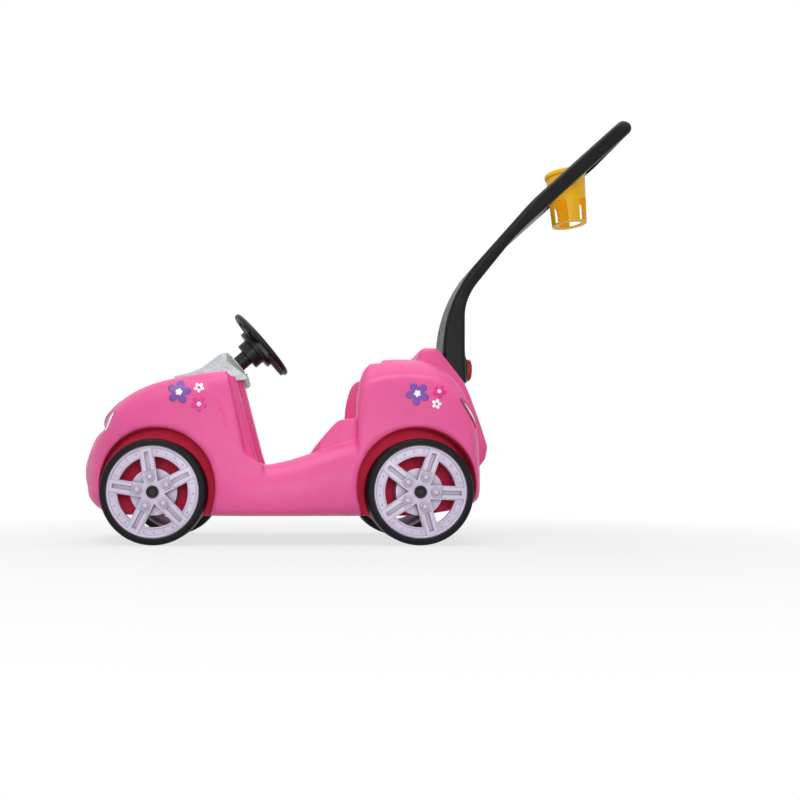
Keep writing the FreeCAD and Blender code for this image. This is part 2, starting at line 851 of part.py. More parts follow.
def make_seat():
    """The seat: a cushion-like top between the fenders, which slopes down to a rounded front lip."""
    front, front_z = num("seat_front_x"), num("seat_front_z")
    top = num("seat_top")
    rear = num("seat_back_x") + num("seat_back_lean")
    half_width = num("cockpit_half_width") + 20.0
    shoulder = (front + 54.0, top)
    brow = (front + 11.0, front_z + 8.0)
    points = [(brow[0], num("floor_z")), brow, shoulder, (rear, top), (rear, num("floor_z"))]
    block = side_prism(points, half_width)
    block = round_corner(block, shoulder[0], shoulder[1], num("seat_round"))
    block = round_corner(block, brow[0], brow[1], 16.0)
    lip_points = [(front, num("floor_z")), (front, front_z), (rear, front_z), (rear, num("floor_z"))]
    lip = side_prism(lip_points, num("cockpit_half_width") - 40.0)
    return block.fuse(round_corner(lip, front, front_z, 10.0))


def make_channel():
    """The space the handle folds through: open above, behind and below."""
    half_width = num("paddle_half_width") + num("paddle_gap")
    x, z = num("pivot_x"), num("pivot_z")
    wall = num("paddle_front_x") - num("channel_gap")
    above = num("bustle_top") + num("paddle_gap")
    below = num("sill_bottom") - num("paddle_gap")
    behind = num("bustle_rear_x") + num("paddle_gap")
    axle_x, axle_z = num("rear_axle_x"), num("wheel_radius")
    room = num("pivot_boss") + num("paddle_gap") * 2.0
    points = [
        (wall, above),
        (wall, num("button_z") - num("button_boss") * 1.2),
        (x - room, z + num("paddle_gap")),
        (x - room * 1.8, z - num("pivot_boss")),
        (axle_x - 26.0, axle_z + 25.0),
        (axle_x - 81.0, axle_z - 10.0),
        (axle_x - 96.0, below),
        (behind, below),
        (behind, above),
    ]
    return side_prism(points, half_width)


def latch_pocket():
    """The hole in the channel wall that takes the end of the latch pin."""
    wall = num("paddle_front_x") - num("channel_gap")
    depth = num("latch_reach") + num("button_travel") + num("latch_gap")
    radius = num("stem_radius") + num("latch_gap")
    return Part.makeCylinder(radius, depth, vec(wall, 0, num("button_z")), vec(-1, 0, 0))


def cross_cylinder(x, z, radius, half_length):
    return Part.makeCylinder(radius, 2.0 * half_length, vec(x, -half_length, z), Y_AXIS)


def make_foot_well():
    """The leg space between the sills, from under the cowl to the seat back."""
    front = num("cowl_x") - num("foot_reach")
    lean = num("seat_back_lean") / (num("fender_top") - num("seat_top"))
    top = num("bustle_top") + num("paddle_gap")
    points = [
        (front, num("floor_z")),
        (num("seat_back_x"), num("floor_z")),
        (num("seat_back_x"), num("seat_top")),
        (num("seat_back_x") + (top - num("seat_top")) * lean, top),
        (num("sill_low_x"), top),
        (num("sill_low_x"), num("cowl_z") - num("cowl_wall")),
        (front, num("cowl_z") - num("cowl_wall")),
    ]
    return side_prism(points, num("cockpit_half_width"))


def make_body_shell():
    """The moulded car body."""
    shell = make_sills().fuse(make_front_hull()).fuse(make_rear_hull())
    depth = num("body_half_width") * 2.0
    below = Part.makeBox(4.0 * depth, 2.0 * depth, num("sill_bottom"), vec(-2.0 * depth, -depth, 0))
    shell = shell.cut(below)
    shell = shell.cut(make_foot_well())
    shell = shell.fuse(make_seat())
    shell = shell.fuse(make_console(num("cockpit_half_width"), num("console_step")))
    shell = shell.fuse(make_console(num("console_half_width"), 0.0))
    shell = shell.fuse(make_bustle())
    front_arch = num("front_axle_x") + num("front_arch_shift")
    rear_arch = num("rear_axle_x") + num("rear_arch_shift")
    for arch_x in (front_arch, rear_arch):
        for side in (-1, 1):
            start = vec(arch_x, side * num("well_wall_y"), num("wheel_radius") + num("arch_rise"))
            shell = shell.cut(Part.makeCylinder(num("arch_radius"), depth, start, vec(0, side, 0)))
    shell = shell.cut(make_channel())
    gap = num("bore_gap")
    pivot_reach = num("paddle_half_width") + num("paddle_gap") + num("pivot_seat")
    for axle_x in (num("front_axle_x"), num("rear_axle_x")):
        shell = shell.cut(cross_cylinder(axle_x, num("wheel_radius"), num("axle_radius") + gap, depth))
    shell = shell.cut(cross_cylinder(num("pivot_x"), num("pivot_z"), num("pivot_radius") + gap, pivot_reach))
    shell = shell.cut(latch_pocket())
    return shell.Solids[0]


def solid_part(label, shape):
    part = doc.addObject("Part::Feature", label)
    part.Shape = shape
    part.Placement = FreeCAD.Placement()
    return keep(part, label)


# Folding handle
COIL_RUNS = 14
WIRE_SIDES = 8


def rail_direction():
    """The way the rails run, from the knee up to the grip."""
    angle = math.radians(num("rail_angle"))
    return vec(math.cos(angle), 0, math.sin(angle))


def grip_end():
    """The middle of the grip's far end, where the rails' centre line stops."""
    radius = num("rail_thickness") / 2.0
    back = radius * (1.0 - rail_direction().x)
    return vec(num("handle_tip_x") - back, 0, num("handle_tip_z"))


def cup_swing():
    """How far the lowest corner of the cup holder is from its pins."""
    return math.hypot(num("cup_bottom_radius") + num("cup_wall"), num("cup_height") - num("cup_rim_above"))


def cup_pivot():
    """The line of the cup holder's pins, one swing below the grip bar."""
    reach = num("grip_bar") + num("cup_swing_gap") + cup_swing()
    return grip_end() - rail_direction() * reach


def make_handle_blank():
    """The handle's side outline, carried across its width, with a round boss at the pivot."""
    along = rail_direction()
    up = vec(-along.z, 0, along.x)
    half = num("rail_thickness") / 2.0
    tip_top = grip_end() + up * half
    tip_low = grip_end() - up * half
    x, z, boss = num("pivot_x"), num("pivot_z"), num("pivot_boss")
    front, rear = num("paddle_front_x"), num("paddle_rear_x")
    bend_front = tip_top - along * num("elbow_front_run")
    bend_rear = tip_low - along * num("elbow_rear_run")
    elbow_front = (bend_front.x, bend_front.z)
    elbow_rear = (bend_rear.x, bend_rear.z)
    points = [
        (tip_top.x, tip_top.z),
        elbow_front,
        (front, num("knee_front_z")),
        (front, num("paddle_waist_z")),
        (x - boss, z),
        (x + boss, z),
        (rear, num("paddle_waist_z")),
        (rear, num("knee_rear_z")),
        elbow_rear,
        (tip_low.x, tip_low.z),
    ]
    half_width = num("loop_half_width")
    blank = side_prism(points, half_width)
    blank = round_corner(blank, front, num("knee_front_z"), num("knee_front_round"))
    blank = round_corner(blank, rear, num("knee_rear_z"), num("knee_rear_round"))
    blank = round_corner(blank, elbow_front[0], elbow_front[1], num("elbow_round"))
    blank = round_corner(blank, elbow_rear[0], elbow_rear[1], num("elbow_round"))
    blank = round_corner(blank, tip_top.x, tip_top.z, half - 0.5)
    blank = round_corner(blank, tip_low.x, tip_low.z, half - 0.5)
    blank = blank.fuse(cross_cylinder(x, z, boss, half_width)).removeSplitter()
    blank = blank.common(make_handle_front())
    picked = [edge for edge in blank.Edges if edge.BoundBox.ZLength > 0.5]
    return blank.makeFillet(num("rail_round"), picked)


def make_handle_front():
    """The handle's outline from the front: a narrow paddle that flares out into the loop."""
    narrow, wide = num("paddle_half_width"), num("loop_half_width")
    low, top = num("pivot_z") - 2.0 * num("pivot_boss"), grip_end().z + num("rail_thickness") / 2.0
    flare_start, flare_end = num("flare_start_z"), num("flare_end_z")
    side = [(narrow, low), (narrow, flare_start), (wide, flare_end), (wide, top)]
    outline = side + [(-y, z) for y, z in reversed(side)]
    corners = [vec(0, y, z) for y, z in outline]
    depth = 2.0 * num("handle_tip_x")
    block = Part.Face(Part.makePolygon(corners + corners[:1])).extrude(vec(depth, 0, 0))
    rounds = [(narrow, flare_start, num("flare_round")), (wide, flare_end, num("flare_round"))]
    rounds.append((wide, top, num("grip_corner")))
    for y, z, radius in rounds:
        picked = [e for e in block.Edges if near_line_x(e, y, z)]
        block = block.makeFillet(radius, picked)
    return block


def near_line_x(edge, y, z):
    """True for an edge that runs along the car through a point of the YZ plane, on either side."""
    ends = [vertex.Point for vertex in edge.Vertexes]
    return all(abs(abs(p.y) - y) < 1e-3 and abs(p.z - z) < 1e-3 for p in ends)


def make_loop_opening():
    """The gap between the rails and the grip bar."""
    along = rail_direction()
    length = num("loop_length")
    inner = num("loop_half_width") - num("rail_width")
    deep = num("rail_thickness") * 4.0
    box = Part.makeBox(length, 2.0 * inner, deep, vec(-length, -inner, -deep / 2.0))
    box = box.makeFillet(num("loop_round"), [e for e in box.Edges if e.BoundBox.ZLength > deep / 2.0])
    start = grip_end() - along * num("grip_bar")
    box.Placement = FreeCAD.Placement(start, FreeCAD.Rotation(Y_AXIS, -num("rail_angle")))
    return box


def x_cylinder(x_from, x_to, radius):
    """A cylinder along X on the latch line."""
    return Part.makeCylinder(radius, x_to - x_from, vec(x_from, 0, num("button_z")), vec(1, 0, 0))


def boss_face():
    return num("paddle_rear_x") + num("button_boss_height")


def button_floor():
    """The bottom of the button's pocket, below the room for its spring."""
    return boss_face() - num("button_depth") - num("spring_room")


def make_handle():
    """The blow-moulded push handle: a loop above and a broad paddle below."""
    handle = make_handle_blank().cut(make_loop_opening())
    face = boss_face()
    handle = handle.fuse(x_cylinder(num("paddle_rear_x") - num("button_depth"), face, num("button_boss")))
    handle = handle.cut(x_cylinder(button_floor(), face + 1.0, num("button_radius") + num("button_gap")))
    stem_bore = num("stem_radius") + num("button_gap")
    handle = handle.cut(x_cylinder(num("paddle_front_x") - 1.0, face, stem_bore))
    bush = num("pivot_radius") + num("axle_bush_wall") + num("running_gap")
    width = num("paddle_half_width")
    handle = handle.cut(cross_cylinder(num("pivot_x"), num("pivot_z"), bush, width + 1.0))
    cup = cup_pivot()
    pin_reach = num("loop_half_width") - num("rail_width") + num("cup_pin_seat")
    handle = handle.cut(cross_cylinder(cup.x, cup.z, num("cup_pin_radius") + num("running_gap"), pin_reach))
    return handle.cut(make_axle_notch()).Solids[0]


def make_axle_notch():
    """The round-bottomed groove across the handle's rear face that the rear axle lies in when it is folded."""
    at = folded_axle()
    reach = num("axle_radius") + num("axle_notch_gap")
    across = num("paddle_half_width") + 1.0
    open_end = at.x + 2.0 * reach
    mouth = [(at.x, at.z - reach), (open_end, at.z - reach), (open_end, at.z + reach), (at.x, at.z + reach)]
    return cross_cylinder(at.x, at.z, reach, across).fuse(side_prism(mouth, across))


def folded_axle():
    """Where the rear axle comes to lie against the upright handle's rear face once the handle is folded."""
    turn = math.radians(num("fold_turn"))
    run, rise = num("rear_axle_x") - num("pivot_x"), num("wheel_radius") - num("pivot_z")
    along = run * math.cos(turn) - rise * math.sin(turn)
    up = run * math.sin(turn) + rise * math.cos(turn)
    return vec(num("pivot_x") + along, 0.0, num("pivot_z") + up)


def make_pivot():
    """The fold's steel rod, its two sleeves in the handle and the washers beside the handle."""
    reach = num("paddle_half_width") + num("paddle_gap") + num("pivot_seat") - num("side_gap")
    rod = cross_cylinder(num("pivot_x"), num("pivot_z"), num("pivot_radius"), reach)
    solid_part("pivot_rod", rod)
    inner = num("pivot_radius") + num("running_gap")
    length = num("pivot_bush_length")
    sleeves = []
    washers = []
    for side in (-1, 1):
        outer_end = vec(num("pivot_x"), side * num("paddle_half_width"), num("pivot_z"))
        inward = vec(0, -side, 0)
        sleeve = Part.makeCylinder(inner + num("axle_bush_wall"), length, outer_end, inward)
        sleeves.append(sleeve.cut(Part.makeCylinder(inner, length, outer_end, inward)))
        thick = num("paddle_gap") - num("side_gap")
        start = vec(num("pivot_x"), side * (num("paddle_half_width") + num("paddle_gap")), num("pivot_z"))
        washer = Part.makeCylinder(num("pivot_boss") - num("rail_round"), thick, start, inward)
        washers.append(washer.cut(Part.makeCylinder(num("pivot_radius"), thick, start, inward)))
    solid_part("pivot_bushes", Part.makeCompound(sleeves))
    solid_part("pivot_washers", Part.makeCompound(washers))


def make_coil(label, radius, room, turns, foot, along):
    """A compression spring, a hair shorter than the room it stands in, from its foot along its axis.
    Its wire is many-sided and runs straight between the points of the helix, so its faces stay flat."""
    wire = num("spring_wire")
    ends = wire + num("side_gap")
    reach = room - ends
    count = turns * COIL_RUNS
    points = []
    for i in range(count + 1):
        turn = 2.0 * math.pi * i / COIL_RUNS
        points.append(vec(radius * math.cos(turn), radius * math.sin(turn), reach * i / count))
    start = points[1] - points[0]
    face_start = FreeCAD.Rotation(Y_AXIS, start)
    rim = []
    for i in range(WIRE_SIDES + 1):
        turn = 2.0 * math.pi * i / WIRE_SIDES
        rim.append(points[0] + face_start.multVec(vec(math.cos(turn), 0, math.sin(turn)) * (wire / 2.0)))
    shape = Part.makePolygon(points).makePipeShell([Part.makePolygon(rim)], True, False, 1)
    coil = solid_part(label, shape)
    coil.Placement = FreeCAD.Placement(foot + along * (ends / 2.0), FreeCAD.Rotation(Z_AXIS, along))


def make_latch():
    """The red button with its pin, its return spring and the strike plate in the channel wall."""
    face = boss_face()
    back = face - num("button_depth")
    button = x_cylinder(back, face + num("button_proud"), num("button_radius"))
    outer = [e for e in button.Edges if e.BoundBox.XMin > face and e.BoundBox.XLength < 1e-3]
    button = button.makeFillet(num("button_round"), outer)
    wall = num("paddle_front_x") - num("channel_gap")
    pin = x_cylinder(wall - num("latch_reach"), back, num("stem_radius"))
    solid_part("latch_button", button)
    solid_part("latch_pin", pin)
    foot = vec(button_floor(), 0, num("button_z"))
    make_coil("latch_spring", num("spring_radius"), num("spring_room"), 5, foot, vec(1, 0, 0))
    half = num("strike_half")
    corner = vec(wall, -half, num("button_z") - half)
    plate = Part.makeBox(num("strike_plate"), 2.0 * half, 2.0 * half, corner)
    hole = x_cylinder(wall - 1.0, wall + num("channel_gap"), num("stem_radius") + num("latch_gap"))
    solid_part("strike_plate", plate.cut(hole))


# Cup holder
def make_cup_holder():
    """A tapered cage: a deep skirt, four straps and a drained floor, on two pin bosses."""
    at = cup_pivot()
    top = at.z + num("cup_rim_above")
    floor = top - num("cup_height")
    top_radius, low_radius, wall = num("cup_radius"), num("cup_bottom_radius"), num("cup_wall")
    centre = vec(at.x, 0, floor)
    outside = Part.makeCone(low_radius + wall, top_radius + wall, num("cup_height"), centre, Z_AXIS)
    rim, rim_height = num("cup_rim_lip"), num("cup_rim_height")
    band = Part.makeCylinder(top_radius + wall + rim, rim_height, vec(at.x, 0, top - rim_height), Z_AXIS)
    outside = outside.fuse(band.makeFillet(rim * 0.9, band.Edges[:3:2]))
    for side in (-1, 1):
        start = vec(at.x, side * low_radius, at.z)
        reach = top_radius + wall + rim + num("cup_pin_seat") / 2.0 - low_radius
        outside = outside.fuse(Part.makeCylinder(num("cup_pin_boss"), reach, start, vec(0, side, 0)))
    depth = num("cup_height") - wall
    inside = Part.makeCone(low_radius, top_radius, depth, vec(at.x, 0, floor + wall), Z_AXIS)
    cage = outside.cut(inside)
    window_low = floor + wall
    window_high = top - num("cup_skirt")
    gap = math.pi * low_radius / 2.0 - num("cup_strap")
    for turn in (45.0, 135.0):
        corner = vec(-2.0 * top_radius, -gap / 2.0, 0)
        box = Part.makeBox(4.0 * top_radius, gap, window_high - window_low, corner)
        upper = [e for e in box.Edges if e.BoundBox.XLength > top_radius and e.BoundBox.ZMin > 1.0]
        box = box.makeFillet(gap / 3.0, upper)
        box.Placement = FreeCAD.Placement(vec(at.x, 0, window_low), FreeCAD.Rotation(Z_AXIS, turn))
        cage = cage.cut(box)
    drain = Part.makeCylinder(num("cup_drain_radius"), wall * 3.0, vec(at.x, 0, floor - wall), Z_AXIS)
    cage = cage.cut(drain)
    for side in (-1, 1):
        cage = cage.cut(cup_pin(side, num("bore_gap") * 0.1))
    return cage.Solids[0]


def cup_pin(side, gap=0.0):
    """One of the two pins that carry the cup holder in the rails."""
    at = cup_pivot()
    inner = num("cup_radius") + num("cup_wall")
    reach = num("loop_half_width") - num("rail_width") + num("cup_pin_seat") - num("side_gap") - inner
    start = vec(at.x, side * inner, at.z)
    return Part.makeCylinder(num("cup_pin_radius") + gap, reach, start, vec(0, side, 0))


# Steering
def steer_axis():
    """The column's direction, from the dash up to the driver."""
    tilt = math.radians(num("steer_tilt"))
    return vec(math.sin(tilt), 0, math.cos(tilt))


def steer_point(along, across=0.0, side=0.0):
    """A point in the wheel's own frame: along the column, across the wheel's face, to the side."""
    tilt = math.radians(num("steer_tilt"))
    down = vec(math.cos(tilt), 0, -math.sin(tilt))
    return vec(num("steer_x"), side, num("steer_z")) + steer_axis() * along + down * across


def steer_cylinder(low, high, radius):
    return Part.makeCylinder(radius, high - low, steer_point(low), steer_axis())


def place_on_column(body):
    """Stands a turned piece on the steering column, its own Y axis along it."""
    down = steer_point(0.0, 1.0) - steer_point(0.0)
    turn = FreeCAD.Rotation(down, steer_axis(), down.cross(steer_axis()), "YXZ")
    body.Placement = FreeCAD.Placement(vec(dim("steer_x"), 0, dim("steer_z")), turn)
    bind(body, "Placement.Base.x", dim("steer_x"))
    bind(body, "Placement.Base.z", dim("steer_z"))


STEER_SPOKES = 3


def make_steering_wheel(name):
    """Rim, three spokes and a stepped hub with the horn's pocket."""
    body = doc.addObject("PartDesign::Body", name)
    ring_at = (dim("steer_radius"), 0.0)
    ring_sketch = circle_sketch(body, name + "_ring", "XY_Plane", dim("steer_rim_radius"), ring_at)
    ring = body.newObject("PartDesign::Revolution", name + "_rim")
    ring.Profile = ring_sketch
    ring.ReferenceAxis = (ring_sketch, ["V_Axis"])
    ring.Angle = 360.0
    flange_top = dim("steer_flange_top")
    flange_end = flange_top + dim("steer_flange_depth")
    half = dim("steer_spoke_width") * 0.5
    spoke_points = [
        (dim("horn_radius") + dim("steer_rim_radius"), -half),
        (dim("steer_radius"), -half),
        (dim("steer_radius"), half),
        (dim("horn_radius") + dim("steer_rim_radius"), half),
    ]
    depth = dim("steer_spoke_depth")
    outline = polygon_sketch(body, name + "_spoke_outline", "XZ_Plane", spoke_points, depth * -0.4)
    spoke = pad(body, name + "_spoke", outline, depth + flange_top - depth * 0.5)
    polar(body, name + "_spokes", [spoke], STEER_SPOKES)
    pocket_radius = dim("horn_radius") + dim("button_gap")
    hub = [
        (dim("shaft_radius") + dim("running_gap"), -dim("steer_housing_end")),
        (dim("steer_housing_radius"), -dim("steer_housing_end")),
        (dim("steer_housing_radius"), -flange_end),
        (dim("steer_flange_radius"), -flange_end),
        (dim("steer_flange_radius"), -flange_top),
        (dim("steer_housing_radius"), -dim("horn_top")),
        (pocket_radius, -dim("horn_top")),
        (pocket_radius, -dim("horn_floor")),
        (dim("shaft_nut_room"), -dim("horn_floor")),
        (dim("shaft_nut_room"), -(dim("steer_housing_end") - dim("shaft_nut"))),
        (dim("shaft_radius") + dim("running_gap"), -(dim("steer_housing_end") - dim("shaft_nut"))),
    ]
    revolve(body, name + "_hub", hub)
    return body


def make_column(name):
    """The black tube between the wheel's hub and the dash."""
    body = doc.addObject("PartDesign::Body", name)
    section = [
        (dim("shaft_radius") + dim("running_gap"), -dim("column_end")),
        (dim("column_radius"), -dim("column_end")),
        (dim("column_radius"), -dim("steer_housing_end")),
        (dim("shaft_radius") + dim("running_gap"), -dim("steer_housing_end")),
    ]
    revolve(body, name + "_tube", section)
    return body


def make_horn_button(name):
    """The domed button in the wheel's hub."""
    body = doc.addObject("PartDesign::Body", name)
    top = dim("horn_top")
    section = [
        (0.0, -(top + dim("horn_depth"))),
        (dim("horn_radius"), -(top + dim("horn_depth"))),
        (dim("horn_radius"), -top),
        (dim("horn_radius") * 0.7, top * 0.5),
        (0.0, top),
    ]
    revolve(body, name + "_dome", section)
    return body


def make_steering():
    for name, make in (
        ("steering_wheel", make_steering_wheel),
        ("steering_column", make_column),
        ("horn_button", make_horn_button),
    ):
        body = make(name)
        place_on_column(body)
        keep(body, name)
    spring_height = num("horn_floor") - num("horn_top") - num("horn_depth")
    foot = steer_point(-num("horn_floor"))
    make_coil("horn_spring", num("horn_spring_radius"), spring_height, 4, foot, steer_axis())
    nut_low = num("steer_housing_end") - num("shaft_nut") - num("side_gap")
    nut_high = nut_low - num("shaft_nut")
    solid_part("steering_shaft", steer_cylinder(-num("shaft_end"), -nut_high, num("shaft_radius")))
    nut = steer_cylinder(-nut_low, -nut_high, num("shaft_nut_radius"))
    solid_part("shaft_nut", nut.cut(steer_cylinder(-nut_low, -nut_high, num("shaft_radius"))))
    bush_high = num("column_end") + num("side_gap")
    bush = steer_cylinder(-bush_high - num("column_bush"), -bush_high, num("column_bush_radius"))
    solid_part("column_bush", bush.cut(steer_cylinder(-num("shaft_end"), 0.0, num("shaft_radius"))))


# Dash
def dash_face():
    """How far down the column the dash's sloping face lies."""
    return num("column_end") + num("side_gap") + num("column_bush")


def make_dash(body_shape):
    """The silver console: a low ramp, a peaked pod and a sloping face that carries the column."""
    face_top = steer_point(-dash_face(), -num("dash_face_up"))
    face_low = steer_point(-dash_face(), num("dash_face_down"))
    base = num("cowl_z") - num("cowl_wall")
    full = [
        (num("dash_tip_x"), num("dash_tip_z")),
        (num("dash_ramp_x"), num("dash_ramp_z")),
        (num("dash_peak_x"), num("dash_peak_z")),
        (face_top.x, face_top.z),
        (face_low.x, face_low.z),
        (face_low.x - 5.0, face_low.z - 10.0),
        (num("cowl_x"), base),
        (num("dash_tip_x"), base),
    ]
    drop = num("dash_side_drop")
    lowered = [0.0, drop * 0.5, drop, drop, drop * 0.2, 0.0, 0.0, 0.0]
    half, top_half = num("dash_half_width"), num("dash_top_half_width")
    wires = []
    for y, share in ((-half, 1.0), (-top_half, 0.0), (top_half, 0.0), (half, 1.0)):
        corners = [vec(x, y, z - share * low) for (x, z), low in zip(full, lowered)]
        wires.append(Part.makePolygon(corners + corners[:1]))
    dash = Part.makeLoft(wires, True, True)
    dash = dash.cut(body_shape)
    dash = max(dash.Solids, key=lambda solid: solid.Volume)
    dash = dash.cut(steer_cylinder(-num("shaft_end") * 2.0, 0.0, num("shaft_radius")))
    for hole in screw_shanks(0.0):
        dash = dash.cut(hole)
    return dash


def screw_places():
    """The dash's fixing screws: across the face and to the side, about the column."""
    side = num("dash_top_half_width") - num("screw_head_radius") * 2.0
    low = num("dash_face_down") - num("screw_head_radius") * 2.0
    high = -(num("dash_face_up") - num("screw_head_radius") * 2.0)
    return [(across, sign * side) for across in (high, low) for sign in (-1, 1)]


def screw_shanks(gap):
    """The screws' shanks, or the holes for them where a gap is given."""
    shanks = []
    for across, side in screw_places():
        head = steer_point(-dash_face(), across, side)
        radius, length = num("screw_radius") + gap, num("screw_length") + gap
        shanks.append(Part.makeCylinder(radius, length, head, steer_axis() * -1.0))
    return shanks


def make_dash_screws():
    screws = []
    for shank, (across, side) in zip(screw_shanks(0.0), screw_places()):
        head = steer_point(-dash_face(), across, side)
        cap = Part.makeCylinder(num("screw_head_radius"), num("screw_head"), head, steer_axis())
        screws.append(cap.fuse(shank))
    return Part.makeCompound(screws)


def shaft_hole():
    return num("shaft_radius") + num("bore_gap")


body_shape = make_body_shell()
bored_shape = body_shape.cut(steer_cylinder(-num("shaft_end") - num("side_gap"), 0.0, shaft_hole()))
for hole in screw_shanks(num("bore_gap")):
    bored_shape = bored_shape.cut(hole)
solid_part("body_shell", bored_shape.Solids[0])
solid_part("dash_console", make_dash(body_shape))
solid_part("dash_screws", make_dash_screws())
make_wheels()
make_axles()
make_steering()
solid_part("handle", make_handle())
make_pivot()
make_latch()
lean = FreeCAD.Placement(vec(0, 0, 0), FreeCAD.Rotation(Y_AXIS, num("cup_tilt")), cup_pivot())
solid_part("cup_holder", make_cup_holder()).Placement = lean
solid_part("cup_pins", Part.makeCompound([cup_pin(-1), cup_pin(1)])).Placement = lean

# Checks and export
doc.recompute()
for obj in doc.Objects:
    for state in ("Invalid", "Error"):
        if state in obj.State:
            raise RuntimeError("%s is %s" % (obj.Label, obj.State))
for part in sub_parts:
    if part.Shape.isNull() or not part.Shape.isValid():
        raise RuntimeError("%s has no valid shape" % part.Label)

os.makedirs("parts", exist_ok=True)
for part in sub_parts:
    part.Shape.exportStep(os.path.join("parts", part.Label + ".step"))
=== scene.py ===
import json
import math

import bmesh
import bpy
import numpy as np
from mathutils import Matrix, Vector
from mathutils.bvhtree import BVHTree


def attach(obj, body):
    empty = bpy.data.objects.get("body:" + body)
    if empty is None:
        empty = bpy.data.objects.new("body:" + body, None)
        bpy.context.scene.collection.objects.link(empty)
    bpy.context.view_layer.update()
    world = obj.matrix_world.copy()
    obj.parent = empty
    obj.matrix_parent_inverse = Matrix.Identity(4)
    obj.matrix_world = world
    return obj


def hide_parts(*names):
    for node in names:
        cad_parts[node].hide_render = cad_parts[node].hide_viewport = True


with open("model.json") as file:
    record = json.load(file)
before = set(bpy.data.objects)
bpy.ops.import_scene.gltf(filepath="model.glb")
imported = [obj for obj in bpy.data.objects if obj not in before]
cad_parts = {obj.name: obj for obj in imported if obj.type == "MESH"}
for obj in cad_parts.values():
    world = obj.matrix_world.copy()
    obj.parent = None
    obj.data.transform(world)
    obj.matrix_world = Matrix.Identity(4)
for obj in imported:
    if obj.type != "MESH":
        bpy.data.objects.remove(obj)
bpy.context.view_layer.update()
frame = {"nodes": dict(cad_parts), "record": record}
NODES = frame["nodes"]

# The photograph's camera: it looks square at the car's left side from 2.08 m, with a shifted frame.
FRAME_PX = 800.0
SENSOR_MM = 36.0
FOCAL_PX = 902.0
CENTRE_PX = (281.6, 482.0)
CAMERA_AT = Vector((-0.160, -2.080, 0.131))

# Where the wheels turn, and the round wells that are cut above them
AXLE_X = {"front": -0.426, "rear": 0.126}
AXLE_Z = 0.1105
WELL_X = (-0.422, 0.120)
WELL_Z = 0.120
WELL_RADIUS = 0.1258
WELL_WALL_Y = 0.148


def srgb(red, green, blue):
    """A colour given as it looks on screen, 0 to 255, as the linear colour that Blender wants."""
    def linear(value):
        share = value / 255.0
        return share / 12.92 if share <= 0.04045 else ((share + 0.055) / 1.055) ** 2.4
    return (linear(red), linear(green), linear(blue), 1.0)


def scaled(colour, factor):
    return tuple(min(1.0, part * factor) for part in colour[:3]) + (1.0,)


# Materials
class Shader:
    """A material's node tree, with short calls to add and join nodes."""

    def __init__(self, name):
        self.material = bpy.data.materials.new(name)
        self.material.use_nodes = True
        self.tree = self.material.node_tree
        self.surface = self.tree.nodes["Principled BSDF"]
        self.place = self.add("ShaderNodeTexCoord").outputs["Object"]

    def add(self, kind, **settings):
        node = self.tree.nodes.new(kind)
        for key, value in settings.items():
            setattr(node, key, value)
        return node

    def join(self, source, target):
        self.tree.links.new(source, target)

    def noise(self, scale, detail=3.0):
        node = self.add("ShaderNodeTexNoise")
        node.inputs["Scale"].default_value = scale
        node.inputs["Detail"].default_value = detail
        self.join(self.place, node.inputs["Vector"])
        return node.outputs["Fac"]

    def spread(self, source, low, high, start=0.35, end=0.65):
        """Maps the middle of a noise to a range of values."""
        node = self.add("ShaderNodeMapRange")
        self.join(source, node.inputs["Value"])
        for name, value in (("From Min", start), ("From Max", end), ("To Min", low), ("To Max", high)):
            node.inputs[name].default_value = value
        return node.outputs["Result"]

    def mix(self, share, first, second):
        """Mixes two colours, or outputs that carry one, by a share."""
        node = self.add("ShaderNodeMix", data_type="RGBA")
        self.join(share, node.inputs["Factor"])
        for socket, value in ((node.inputs[6], first), (node.inputs[7], second)):
            if isinstance(value, tuple):
                socket.default_value = value
            else:
                self.join(value, socket)
        return node.outputs[2]

    def calculate(self, operation, first, second):
        node = self.add("ShaderNodeMath", operation=operation)
        for socket, value in ((node.inputs[0], first), (node.inputs[1], second)):
            if isinstance(value, (int, float)):
                socket.default_value = value
            else:
                self.join(value, socket)
        return node.outputs["Value"]

    def bump(self, height, strength, distance):
        node = self.add("ShaderNodeBump")
        node.inputs["Strength"].default_value = strength
        node.inputs["Distance"].default_value = distance
        self.join(height, node.inputs["Height"])
        self.join(node.outputs["Normal"], self.surface.inputs["Normal"])

    def finish(self, colour, roughness, **fixed):
        self.join(colour, self.surface.inputs["Base Color"])
        self.join(roughness, self.surface.inputs["Roughness"])
        for name, value in fixed.items():
            self.surface.inputs[name.replace("_", " ")].default_value = value
        return self.material


# How far a recess looks for the walls that darken it with painted shade
PAINTED_SHADE_REACH = 0.012


def moulded(name, colour, roughness, grain_scale, grain_depth, cloud=0.05, painted_recess_shade=0.0, **fixed):
    """Moulded plastic: a colour that drifts a little, a fine grain, an uneven sheen and painted shade that
    darkens its recesses.
    """
    shader = Shader(name)
    drift = shader.spread(shader.noise(9.0), 0.0, 1.0)
    tone = shader.mix(drift, scaled(colour, 1.0 - cloud), scaled(colour, 1.0 + cloud))
    if painted_recess_shade:
        # Painted shade: an occlusion node darkens the colour in recesses, where shade falls
        corner = shader.add("ShaderNodeAmbientOcclusion", samples=8)
        corner.inputs["Distance"].default_value = PAINTED_SHADE_REACH
        unshaded_share = shader.spread(corner.outputs["AO"], 0.0, 1.0, 0.3, 0.95)
        tone = shader.mix(unshaded_share, scaled(colour, 1.0 - painted_recess_shade), tone)
    sheen = shader.spread(shader.noise(60.0), roughness - 0.05, roughness + 0.06)
    shader.bump(shader.noise(grain_scale, 2.0), 0.35, grain_depth)
    return shader.finish(tone, sheen, **fixed)


# The crimson painted shade of the wells begins just short of their inner walls, and is duller than the pink
WELL_SHADE_Y = WELL_WALL_Y - 0.002
WELL_ROUGHNESS = 0.85


